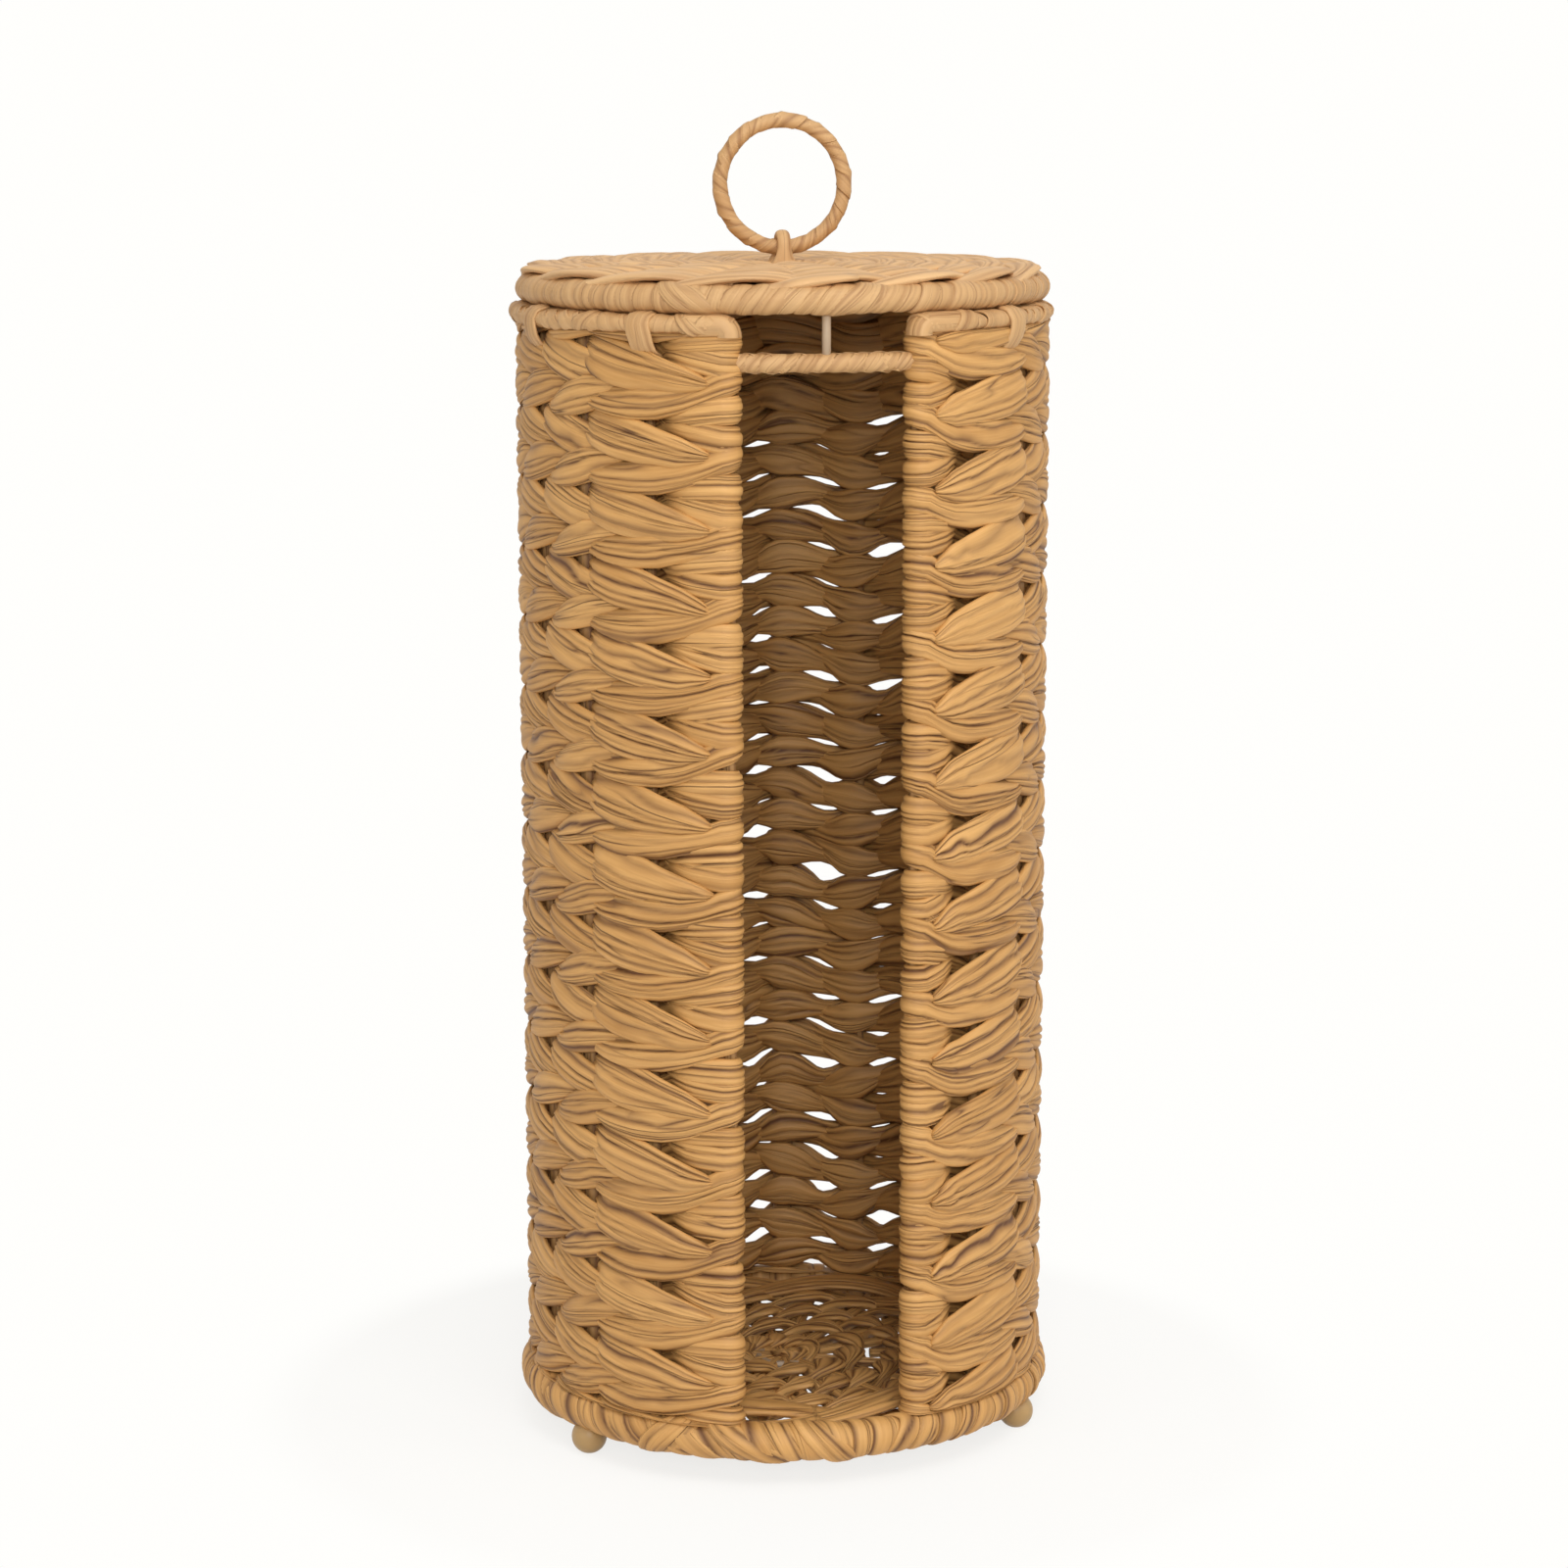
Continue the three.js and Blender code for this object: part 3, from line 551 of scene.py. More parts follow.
# The last stretch at a slot post, in pitches from it: rise is from the row's middle, all in millimetres.
# A tip ends in front of the post under the turned strands. Tiles turn round the post and pass
# behind the first stake. A smile turns round the post and stays in front of that stake.
tileWidth = {0.0: 9.0, 0.4: 9.2, 0.62: 8.6, 0.8: 7.0, 1.1: 6.0, 1.3: 7.0}
edgeStrokes = {
    "boldTip": {"reach": 1.95,
                "rise": {0.10: -2.9, 0.23: -2.5, 0.47: -1.6, 0.94: 0.7, 1.3: 2.6, 1.6: 4.6, 1.85: 6.6},
                "depth": {0.10: 3.3, 0.2: 4.3, 0.5: 4.8, 1.2: 4.4, 1.6: 3.8, 1.75: 2.0, 1.9: -1.8},
                "width": {0.10: 0.8, 0.23: 4.7, 0.47: 8.8, 0.94: 13.4, 1.3: 13.8, 1.6: 12.4, 1.85: 8.6}},
    "boldTile": {"reach": 1.3,
                 "rise": {0.0: 3.2, 0.4: 4.6, 0.66: 5.6, 0.9: 3.4, 1.1: 0.4, 1.3: -2.1},
                 "depth": {0.0: 3.3, 0.3: 3.1, 0.48: 1.8, 0.62: 0.0, 0.75: -2.6, 1.15: -3.2, 1.3: -1.0},
                 "width": tileWidth},
    "smile": {"reach": 1.95,
              "rise": {-0.15: 4.4, 0.0: 3.3, 0.2: 1.3, 0.47: -0.7, 0.8: -1.9, 1.07: -2.1, 1.55: -1.7,
                       1.9: -0.6},
              "depth": {0.0: 3.3, 0.3: 3.7, 1.07: 3.9, 1.4: 3.5, 1.7: 2.4, 1.95: -0.6},
              "width": {0.0: 8.6, 0.15: 7.6, 0.47: 8.6, 0.8: 10.6, 1.07: 10.4, 1.4: 8.4, 1.7: 5.6}},
    "quietTile": {"reach": 1.3,
                  "rise": {0.0: -4.2, 0.4: -5.2, 0.66: -6.4, 0.9: -3.8, 1.1: -1.6, 1.3: 0.6},
                  "depth": {0.0: 3.3, 0.3: 3.1, 0.48: 1.8, 0.62: 0.0, 0.75: -2.6, 1.15: -3.2, 1.3: -1.6},
                  "width": tileWidth},
}


def pressed(z, low, high, room):
    # Heights nearer than room to a limit are squeezed together, so that none passes it: the distance d
    # to the limit becomes room * exp(d / room - 1)
    z = np.where(z > high - room, high - room * np.exp((high - z) / room - 1), z)
    return np.where(z < low + room, low + room * np.exp((z - low) / room - 1), z)


def postRoles(u, evenRow, member, over, look):
    # What every strand does at each slot post. A tucked strand ends in front of it: the stretch of u from
    # tipBend down to over past the post is squeezed to end at tipPlace.
    ends = []
    for farSide, boldEnd in ((False, evenRow), (True, ~evenRow)):
        frontHere = member % 2 == (gapCount % 2 if farSide else 0)
        tucked = boldEnd & ~frontHere
        near = gapCount - u if farSide else u
        squeezed = mix(look["tipPlace"], look["tipBend"], (near + over) / (look["tipBend"] + over))
        near = np.where(tucked & (near < look["tipBend"]), squeezed, near)
        u = gapCount - near if farSide else near
        ends.append((farSide, tucked, {"boldTip": tucked, "boldTile": boldEnd & frontHere,
                                       "smile": ~boldEnd & ~frontHere, "quietTile": ~boldEnd & frontHere}))
    return u, ends


def twinedCourse(rows, u, evenRow, member, rng):
    # The even twining of evenTwine's formulas
    level = rows - rows.min()
    crossing = rng.uniform(*evenTwine["crossing"], (level.max() + 1, gapCount))
    crossing += alongKnots(np.arange(level.max() + 1), evenTwine["slits"])[:, None]
    gap = np.clip(np.floor(u), 0, gapCount - 1).astype(int)
    crossing = crossing[level[:, None], gap]
    offset = rng.normal(0, evenTwine["patch"], (level.max() + 1, gapCount))[level[:, None], gap]
    skewed = u + alongKnots(u, evenTwine["skew"]) * np.sin(math.pi * u) ** 2
    cycle = math.pi * np.where(evenRow, 1, -1) * (skewed - member)
    rise = evenTwine["rise"] * np.sin(cycle) + evenTwine["wave"] * np.cos(math.pi * u)
    return {"rise": rise + offset * np.sin(math.pi * u) ** 2,
            "depth": evenTwine["depth"] * np.cos(cycle),
            "width": mix(crossing, evenTwine["broad"], np.cos(cycle) ** 2)}


def strandCourse(rows, members, look, rng):
    # At every step u, height, depth outwards, width, the length run on past a slot post, and lean. u counts
    # stake pitches from the right slot post. Past a post a tucked strand has ended and the others turn
    # round the post. A row blends from bold to quiet along it, and both blend into even twining at the back.
    count = len(rows)
    over = look["turnLength"] / pitchLength
    turn = np.linspace(-over, 0, look["turnSteps"], endpoint=False)
    gaps = np.linspace(0, gapCount, gapCount * look["stepsPerGap"] + 1)
    s = np.concatenate([turn, gaps, gapCount - turn[::-1]])
    evenRow = (rows % 2 == 0)[:, None]
    member = members[:, None]
    u, ends = postRoles(np.broadcast_to(s, (count, len(s))), evenRow, member, over, look)
    fromBold = np.where(evenRow, u, gapCount - u)
    quietPlace = look["quietFrom"] + look["quietOver"]
    bold = 0.5 + 0.5 * blendStep((quietPlace - fromBold) / look["quietOver"])
    bold = bold - 0.5 * blendStep((quietPlace - gapCount + fromBold) / look["quietOver"])
    fromPost = np.minimum(u, gapCount - u)
    even = blendStep((fromPost - evenTwine["from"]) / evenTwine["over"])
    t = np.where(evenRow, 1, -1) * (u - member)
    course = twinedCourse(rows, u, evenRow, member, rng)
    for part, twined in course.items():
        stroke = mix(cycleCurve(-t, quietStroke[part]), cycleCurve(t, boldStroke[part]), bold)
        course[part] = mix(stroke, twined, even)
    inward = np.zeros(u.shape)
    for farSide, tucked, roles in ends:
        near = gapCount - u if farSide else u
        slant = rng.uniform(-1, 1, (count, 1)) * look["edgeSlant"] * np.clip(look["edgeReach"] - near, 0, 1)
        squeezed = near if farSide else near + alongKnots(near, look["rightShift"])
        for role, here in roles.items():
            stroke = edgeStrokes[role]
            weight = here * blendStep((stroke["reach"] - squeezed) / look["edgeBlend"])
            for part in course:
                course[part] = mix(course[part], alongKnots(squeezed, stroke[part]), weight)
            course["rise"] = course["rise"] + slant * weight
        inward = inward + np.maximum(-near, 0) * pitchLength * ~tucked
    chevron = (wallHigh[2] - wallLow[2]) / look["chevrons"]
    rowHeight = wallLow[2] + (look["firstRow"] + 0.5 * rows[:, None]) * chevron
    rowHeight = rowHeight + look["boldSink"] * (1 - 2 * bold) * chevron
    rowHeight = rowHeight + wander(rng, s, count, look["heightDriftLength"], look["heightDrift"])
    width = course["width"] * (1 + wander(rng, s, count, look["widthDriftLength"], look["widthDrift"]))
    lean = look["lean"] * np.cos(math.pi * u / gapCount) * np.sin(math.pi * (u - member))
    lean = lean * blendStep((fromPost - look["leanFrom"]) / look["leanOver"])
    return u, rowHeight + course["rise"] * mm, course["depth"] * mm, width * mm, inward, lean


def wallPaths(rows, members, look, rng):
    # Angle runs with u; past a post the path turns half a circle round it and runs back inside
    u, z, depth, width, inward, lean = strandCourse(rows, members, look, rng)
    angle = postAngle + stakePitch * np.clip(u, 0, gapCount)
    radial, ahead = directions(angle)
    ahead = ahead * np.where(u < gapCount / 2, 1, -1)[..., None]  # away from the nearer post
    turned = np.minimum(inward / look["turnRadius"], math.pi)
    back = np.maximum(inward - math.pi * look["turnRadius"], 0)
    sideways = back - look["turnRadius"] * np.sin(turned)
    lift = np.where(inward > 0, look["turnRadius"] * np.cos(turned), depth)
    centre = radial * (stakeCircle + lift)[..., None] + ahead * sideways[..., None]
    centre[..., 2] = z
    out = radial * np.cos(turned)[..., None] - ahead * np.sin(turned)[..., None]
    return centre, out, width, lean


def makeWall(look):
    # One row more than fits at either end is pressed into what room is left under the rims
    rng = np.random.default_rng(look["seed"])
    rows = np.repeat(np.arange(-1, 2 * look["chevrons"] + 1), 2)
    members = np.arange(len(rows)) % 2
    centre, out, width, lean = wallPaths(rows, members, look, rng)
    ridges = rng.uniform(*look["ridges"], (len(rows), 1))
    widths = np.clip(width / look["plainWidth"], 0, look["broadest"])
    half = look["half"] * (1 + look["thicker"] - look["thicker"] * widths)
    half = half * np.clip(width / look["tipWidth"], look["tipHalf"], 1)
    points, marks, uv = ribbonMesh(centre, out, look, rng, width, half, ridges, lean)
    points[..., 2] = pressed(points[..., 2], wallLow[2] - look["below"], wallHigh[2] + look["above"],
                             look["pressRoom"])
    for index, chosen in enumerate(np.array_split(np.arange(len(rows)), look["pieces"])):
        part = points[chosen], {mark: values[chosen] for mark, values in marks.items()}, uv[chosen]
        ribbonPiece(f"wall_strands_{index + 1}", [part], strand, "basket", "wall_weave")
    print("wall woven:", points.shape)


makeWall(wall)

stakeStrips = {
    "seed": 5,
    "width": 6.2 * mm,
    "half": 1.75 * mm,
    "ridges": 2.6,
    "ridgeHeight": 0.4 * mm,
    "steps": 60,
    "sway": 0.25 * mm,
    "swayLength": 90 * mm,
    "swayOut": 0.3,  # sway outwards, as a share of the sway round the wall
    "intoRims": 1 * mm,
}


def makeStakeStrips(look):
    # A flat leaf strip round each stake and slot post, from the base rim to the top rim, in a darker copy of
    # the strand colour: painted shade where the strips show in the wall's holes
    rng = np.random.default_rng(look["seed"])
    names = [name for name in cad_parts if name.startswith(("stake_", "slot_post_"))]
    places = np.array([middle(name) for name in names])
    angle = np.arctan2(places[:, 0], -places[:, 1])
    bottom = boxOf("base_rim_wrap")[1][2] - look["intoRims"]
    top = boxOf("top_rim_wrap")[0][2] + look["intoRims"]
    z = np.linspace(bottom, top, look["steps"])
    sway = wander(rng, z, len(names), look["swayLength"], look["sway"])[..., None]
    circle = np.hypot(places[:, 0], places[:, 1])[:, None, None]
    radial, ahead = directions(angle[:, None])
    centre = radial * (circle + sway * look["swayOut"]) + ahead * sway
    centre[..., 2] = z
    ribbons = ribbonMesh(centre, radial, look, rng)
    ribbonPiece("stake_strips", [ribbons], shadedStakeLeaf, "basket")


makeStakeStrips(stakeStrips)


# Wound rims: one strand wound round a ring wire

windSection = dict(ribbonSection, facePoints=16, backPoints=8)
winding = {
    "handover": 0.1,  # of a turn, hidden at the inner side, over which its random values become the next's
    "clearance": 0.2 * mm,  # from a rim's own section in to the strand's outer face
    "overlayRun": 1.2,  # turns' spacing that a crossing turn runs along its rim
    "overlayProud": 0.8,  # of its half thickness
}


def perTurn(rng, q, turns, low, high):
    # A random value for each turn, handed over to the next turn's at its end
    values = rng.uniform(low, high, turns)
    turn = np.floor(q).astype(int)
    onward = blendStep((q - turn - (1 - winding["handover"])) / winding["handover"])
    return mix(values[turn % turns], values[(turn + 1) % turns], onward)


def onCircle(ring, angle):
    # Point, outward direction and direction along a ring at each angle
    angle = np.asarray(angle)[..., None]
    outward = np.cos(angle) * ring["start"] + np.sin(angle) * ring["quarter"]
    onwards = np.cos(angle) * ring["quarter"] - np.sin(angle) * ring["start"]
    return ring["centre"] + outward * ring["radius"], outward, onwards


def windRing(ring, first, last, look, rng, proud=0.0, slant=None, turns=None):
    # q counts turns from the ring's inner side, over its top, down its outer side and back below. The ring
    # angle grows with q and swings by half the slant each way, a quarter turn before and after the ring's
    # front. slant and overlays are tables of degrees round a ring: millimetres along it.
    turns = turns or round((last - first) * ring["radius"] / look["spacing"])
    closed = last - first == fullTurn
    steps = turns * look["turnSteps"]
    q = np.arange(steps + (0 if closed else 1)) / look["turnSteps"]
    phi = fullTurn * q
    angle = mix(first, last, q / turns)
    swing = roundTheRing(angle, look["slant"]) * mm if slant is None else slant
    swing = swing + perTurn(rng, q, turns, -1, 1) * look["slantVaries"]
    angle = angle + swing / 2 * np.sin(phi - ring["front"]) / ring["radius"]
    spine, outward, onwards = onCircle(ring, angle)
    sink = look["half"] + winding["clearance"] - proud - perTurn(rng, q, turns, -1, 1) * look["bumps"]
    wide = (ring["halfWidth"] - sink)[:, None]
    tall = (ring["halfHeight"] - sink)[:, None]
    phi = phi[:, None]
    centre = spine - wide * np.cos(phi) * outward + tall * np.sin(phi) * ring["up"]
    out = unit(-np.cos(phi) / wide * outward + np.sin(phi) / tall * ring["up"])
    width = look["width"] * (1 + perTurn(rng, q, turns, -1, 1) * look["widthVaries"])
    ridges = perTurn(rng, q, turns, *look["ridges"])
    tone = perTurn(rng, q, turns, 0, 1)
    # A slanted turn bends with the tube across its width: by the square of its slope along the ring
    bend = np.sum(tangents(centre, closed) * onwards, axis=1) ** 2 / ring["halfHeight"]
    return ribbonMesh(centre[None], out[None], look, rng, width, ridges=ridges, lean=look["lean"], bend=bend,
                      tone=tone, joined=closed, section=windSection)


def upright(radius, z, halfWidth, halfHeight):
    # A level ring round the basket's axis, from the slot's middle towards +X
    return {"centre": np.array([0, 0, z]), "radius": radius, "halfWidth": halfWidth, "halfHeight": halfHeight,
            "start": np.array([0.0, -1, 0]), "quarter": np.array([1.0, 0, 0]), "up": up, "front": math.pi}


def levelRing(node, halfWidth=None, halfHeight=None, lift=0.0):
    # A ring node's own section, or a slimmer one with its underside lifted off the node's
    low, high = boxOf(node)
    ownHalf = (high[2] - low[2]) / 2
    halfWidth = halfWidth or ownHalf
    halfHeight = halfHeight or ownHalf
    return upright(high[0] - halfWidth, low[2] + lift + halfHeight, halfWidth, halfHeight)


def overlays(ring, look, rng):
    # Short crossing turns laid over a rim where its strand was pieced in
    parts = []
    for place, slant in look["overlays"].items():
        first = math.radians(place)
        last = first + look["spacing"] * winding["overlayRun"] / ring["radius"]
        proud = look["half"] * winding["overlayProud"]
        parts.append(windRing(ring, first, last, look, rng, proud=proud, slant=slant * mm, turns=1))
    return parts


def windPiece(name, node, ring, first, last, look, material, body):
    # A strand wound along a ring from first to last, and the crossing turns on it
    rng = np.random.default_rng(look["seed"])
    turns = windRing(ring, first, last, look, rng)
    ribbonPiece(name + "_winding", [turns], material, body, node,
                joined=last - first == fullTurn)
    if "overlays" in look:
        ribbonPiece(name + "_crossings", overlays(ring, look, rng), material, body)


baseRim = {
    "seed": 21,
    "spacing": 7.0 * mm,  # from turn to turn
    "width": 10.0 * mm,
    "widthVaries": 0.18,
    "half": 0.95 * mm,
    "ridges": (2.0, 4.6),  # folds across a turn, least and most
    "ridgeHeight": 0.45 * mm,
    "lean": 0.55 * mm,  # how far a turn's edges tip out and in
    "bumps": 0.25 * mm,  # how far a whole turn may lie out or in
    "turnSteps": 26,
    "slant": {-120: 3, -60: 5, -22: 9, -5: 1, 5: -3, 25: -8, 60: -6, 120: -3, 180: 3},
    "slantVaries": 2.2 * mm,
    "overlays": {-38: -12, -20: 14, -3: 9, 92: 12, 141: -13, 187: 13, 231: -12, 282: 13},
}
windPiece("base_rim", "base_rim_wrap", levelRing("base_rim_wrap"), 0, fullTurn, baseRim, strand, "basket")

topRim = {
    "seed": 22,
    "halfWidth": 4.6 * mm,
    "halfHeight": 3.1 * mm,
    "lift": 1.3 * mm,
    "halfMouth": 24.4 * mm,  # half of the opening over the slot
    "spacing": 5.2 * mm,
    "width": 7.4 * mm,
    "widthVaries": 0.18,
    "half": 0.75 * mm,
    "ridges": (1.6, 3.2),
    "ridgeHeight": 0.3 * mm,
    "lean": 0.35 * mm,
    "bumps": 0.2 * mm,
    "turnSteps": 24,
    "slant": {-150: -2, -90: 2, -60: 5, -25: -6, 25: 3, 45: -5, 90: -4, 180: -3},
    "slantVaries": 1.6 * mm,
    "overlays": {-57: -8, -29: 6, 29: -6, 62: -9, 118: 9, 170: -9, 221: 9, 263: -9},
    "windingInset": 5.0 * mm,  # from the opening to the first turn
}
# The strand over each end of the top rim: it runs out along the ring and bends down to the post's turns
rimEnd = {
    "run": 10 * mm,
    "down": 0.6 * mm,
    "bend": 2.6 * mm,
    "half": 3.3 * mm,
    "width": 9.4 * mm,
    "ridges": 3.4,
    "ridgeHeight": 0.5 * mm,
    "steps": 10,
}
# Bands that lash the top rim to the wall: places in degrees, route as (outwards, up) from the ring's middle
# in millimetres
lashing = {
    "places": (-39.5, 47, 96, 141, 190, 236, 286),
    "route": ((0.5, 3.1), (3.2, 2.5), (4.6, 0.4), (4.7, -2.2), (4.1, -5.0), (2.4, -7.6), (-1.5, -9.6)),
    "steps": 18,
    "width": 8.2 * mm,
    "half": 0.9 * mm,
    "ridges": 3.2,
    "ridgeHeight": 0.55 * mm,
    "sway": 1.2 * mm,
    "swayLength": 1.6,  # of a band's length
}


def endStrand(ring, angle, onward, look, rng):
    # Quarter bend of a thick strand: angle * bend along the ring, then straight down, its face always outside
    theta = np.linspace(0, math.pi / 2, look["steps"])
    ahead = -look["half"] - look["bend"] + look["bend"] * np.sin(theta)
    fall = look["bend"] - look["bend"] * np.cos(theta)
    straight = np.linspace(1, 0, look["steps"], endpoint=False)
    ahead = np.concatenate([ahead[0] - look["run"] * straight, ahead, np.full(look["steps"], ahead[-1])])
    fall = np.concatenate([np.zeros(look["steps"]), fall, fall[-1] + look["down"] * (1 - straight)])
    theta = np.concatenate([np.zeros(look["steps"]), theta, np.full(look["steps"], theta[-1])])[:, None]
    spine, _, onwards = onCircle(ring, angle + onward * ahead / ring["radius"])
    centre = spine - fall[:, None] * ring["up"]
    out = ring["up"] * np.cos(theta) + onward * onwards * np.sin(theta)
    return ribbonMesh(centre[None], out[None], look, rng)


def lashings(ring, look, rng):
    # Ribbons down the rim's outer side and into the wall, along a smoothed route
    count = len(look["places"])
    share = np.linspace(0, 1, look["steps"])
    knots = np.linspace(0, 1, len(look["route"]))
    outwards, height = (np.interp(share, knots, values) * mm for values in np.array(look["route"]).T)
    sway = wander(rng, share, count, look["swayLength"], look["sway"])
    angle = np.radians(look["places"])[:, None] + sway / ring["radius"]
    spine, outward, _ = onCircle(ring, angle)
    centre = spine + outward * outwards[:, None] + ring["up"] * height[:, None]
    slope = unit(np.stack([-np.gradient(height), np.gradient(outwards)], -1))
    out = outward * slope[:, :1] + ring["up"] * slope[:, 1:]
    return ribbonMesh(centre, out, look, rng, section=windSection)


def makeTopRim(look):
    # The winding stops short of the opening, where the thick end strands take over
    rng = np.random.default_rng(look["seed"])
    ring = levelRing("top_rim_wrap", look["halfWidth"], look["halfHeight"], look["lift"])
    mouth = math.asin(look["halfMouth"] / ring["radius"])
    inset = look["windingInset"] / ring["radius"]
    turns = windRing(ring, mouth + inset, fullTurn - mouth - inset, look, rng)
    ribbonPiece("top_rim_winding", [turns], litRimStrand, "basket", "top_rim_wrap")
    ends = [endStrand(ring, mouth, -1, rimEnd, rng), endStrand(ring, fullTurn - mouth, 1, rimEnd, rng)]
    ribbonPiece("top_rim_ends", ends, litRimStrand, "basket")
    ribbonPiece("top_rim_crossings", overlays(ring, look, rng), litRimStrand, "basket")
    ribbonPiece("top_rim_lashings", [lashings(ring, lashing, rng)], litRimStrand, "basket")


makeTopRim(topRim)

crossbar = {
    "seed": 23,
    "spacing": 5.0 * mm,
    "width": 6.2 * mm,
    "widthVaries": 0.2,
    "half": 0.55 * mm,
    "ridges": (1.2, 2.2),
    "ridgeHeight": 0.2 * mm,
    "lean": 0.12 * mm,
    "bumps": 0.1 * mm,
    "turnSteps": 20,
    "slant": {-30: -6, 30: -6},
    "slantVaries": 0.8 * mm,
}


def makeCrossbar(look):
    # An arc on the stakes' circle, as long as the CAD's wrapping is wide
    low, high = boxOf("crossbar_wrap")
    half = (high[2] - low[2]) / 2
    ring = upright(stakeCircle, (low[2] + high[2]) / 2, half, half)
    reach = math.asin(high[0] / stakeCircle)
    windPiece("crossbar", "crossbar_wrap", ring, -reach, reach, look, litRimStrand, "basket")


makeCrossbar(crossbar)

lidRim = {
    "seed": 24,
    "halfHeight": 4.45 * mm,
    "lift": -0.3 * mm,
    "spacing": 5.4 * mm,
    "width": 7.8 * mm,
    "widthVaries": 0.2,
    "half": 0.8 * mm,
    "ridges": (1.8, 3.4),
    "ridgeHeight": 0.3 * mm,
    "lean": 0.28 * mm,
    "bumps": 0.3 * mm,
    "turnSteps": 26,
    "slant": {-150: -2, -90: -2, -50: -2, -32: -2, -14: -9, 15: -8, 35: -3, 60: -6, 90: -2, 180: -4},
    "slantVaries": 1.4 * mm,
    "overlays": {-32: 9, 3: -12, 77: -12, 130: 10, 175: -12, 219: 10, 268: -12},
}
lidRing = levelRing("lid_rim_wrap", halfHeight=lidRim["halfHeight"], lift=lidRim["lift"])
windPiece("lid_rim", "lid_rim_wrap", lidRing, 0, fullTurn, lidRim, litRimStrand, "lid")
print("rims wound")


# Lid and floor: two strands twined outwards in a spiral, over and under radial strips

lidDisc = {
    "seed": 31,
    "wires": "lid_spoke_",
    "inner": 4.0 * mm,
    "pitch": 11.0 * mm,
    "firstSpokes": 8,
    "split": 2.9,  # turns until the spokes double
    "stepsPerTurn": 130,
    "amplitude": 1.9 * mm,
    "swing": 2.4 * mm,
    "topWidth": 13.2 * mm,
    "crossWidth": {0.0: 9.0, 0.55: 8.4, 0.8: 7.4, 1.0: 7.6},  # millimetres, by share of the disc's radius
    "widthVaries": 0.12,
    "half": 1.2 * mm,
    "crossHalf": 1.5,  # half thicknesses where the two strands cross
    "ridges": 2.6,
    "ridgesVary": 0.8,
    "ridgeHeight": 0.35 * mm,
    "mound": {0.0: 1.6, 0.4: 2.1, 0.75: 1.9, 1.0: 1.0},  # millimetres above the CAD disc's middle
    "gap": 3.2 * mm,  # between the last turn's middle and the disc's edge
    "lastRow": 0.85,  # turns at the outermost radius
    "spokeWidth": 5.5 * mm,
    "spokeHalf": 1.3 * mm,
    "spokeSteps": 24,
    "spokeFrom": 0.01,  # of the way from its start to the edge
    "roam": 0.8 * mm,
    "roamLength": 1.3,  # turns
    "widthLength": 0.8,
    "ridgesLength": 0.1,  # of the whole spiral
}


def discPaths(look, edge, level, rng):
    # r grows by one pitch a turn up to the last row, which stays at its radius. p counts the spokes passed;
    # strand m is on top where p - m is even, swings inwards as it crosses the top and outwards below.
    growing = (edge - look["gap"] - look["inner"]) / look["pitch"]
    turn = np.arange(round((growing + look["lastRow"]) * look["stepsPerTurn"])) / look["stepsPerTurn"]
    p = look["firstSpokes"] * (turn + np.maximum(turn - look["split"], 0))
    cycle = math.pi * (p - np.arange(2)[:, None])
    r = look["inner"] + look["pitch"] * np.minimum(turn, growing) - look["swing"] * np.sin(cycle)
    r = r + wander(rng, turn, 2, look["roamLength"], look["roam"])
    height = level + alongKnots(r / edge, look["mound"]) * mm + look["amplitude"] * np.cos(cycle)
    broad = 0.5 + 0.5 * np.cos(2 * cycle)
    width = mix(alongKnots(r / edge, look["crossWidth"]) * mm, look["topWidth"], broad)
    width = width * (1 + wander(rng, turn, 2, look["widthLength"], look["widthVaries"]))
    return roundAxis(fullTurn * turn, r, height), width, look["half"] * mix(look["crossHalf"], 1.0, broad)


def discSpokes(look, edge, level):
    # Radial strips under the weave: one over each spoke wire, and one between two wires from where the
    # twining splits
    wires = np.sort([angleOf(name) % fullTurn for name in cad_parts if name.startswith(look["wires"])])
    angle = np.concatenate([wires, wires + (np.roll(wires, -1) - wires) % fullTurn / 2])
    start = np.repeat([0, look["inner"] + look["split"] * look["pitch"]], len(wires))
    r = mix(start[:, None], edge, np.linspace(look["spokeFrom"], 1, look["spokeSteps"]))
    return roundAxis(angle[:, None], r, level + alongKnots(r / edge, look["mound"]) * mm)


def makeDisc(name, node, body, look, material, edge):
    # Twining and radial strips in one piece, out to the radius edge
    rng = np.random.default_rng(look["seed"])
    level = middle(node)[2]
    centre, width, half = discPaths(look, edge, level, rng)
    share = np.linspace(0, 1, centre.shape[1])
    ridges = look["ridges"] + wander(rng, share, 2, look["ridgesLength"], look["ridgesVary"])
    twining = ribbonMesh(centre, up, look, rng, width, half, ridges)
    spokes = discSpokes(look, edge, level)
    strips = ribbonMesh(spokes, up, look, rng, look["spokeWidth"], look["spokeHalf"])
    ribbonPiece(name, [twining, strips], material, body, node)


floorDisc = dict(lidDisc, seed=32, wires="floor_spoke_", firstSpokes=10, split=1.6, lastRow=0,
                 pitch=14.5 * mm, topWidth=10.2 * mm, mound={0: 0, 1: 0}, crossWidth={0: 2.8, 1: 2.2},
                 amplitude=2.6 * mm, swing=2.2 * mm, roam=2.0 * mm, gap=13.0 * mm, ridges=3.4,
                 ridgeHeight=0.6 * mm, spokeWidth=3.2 * mm)
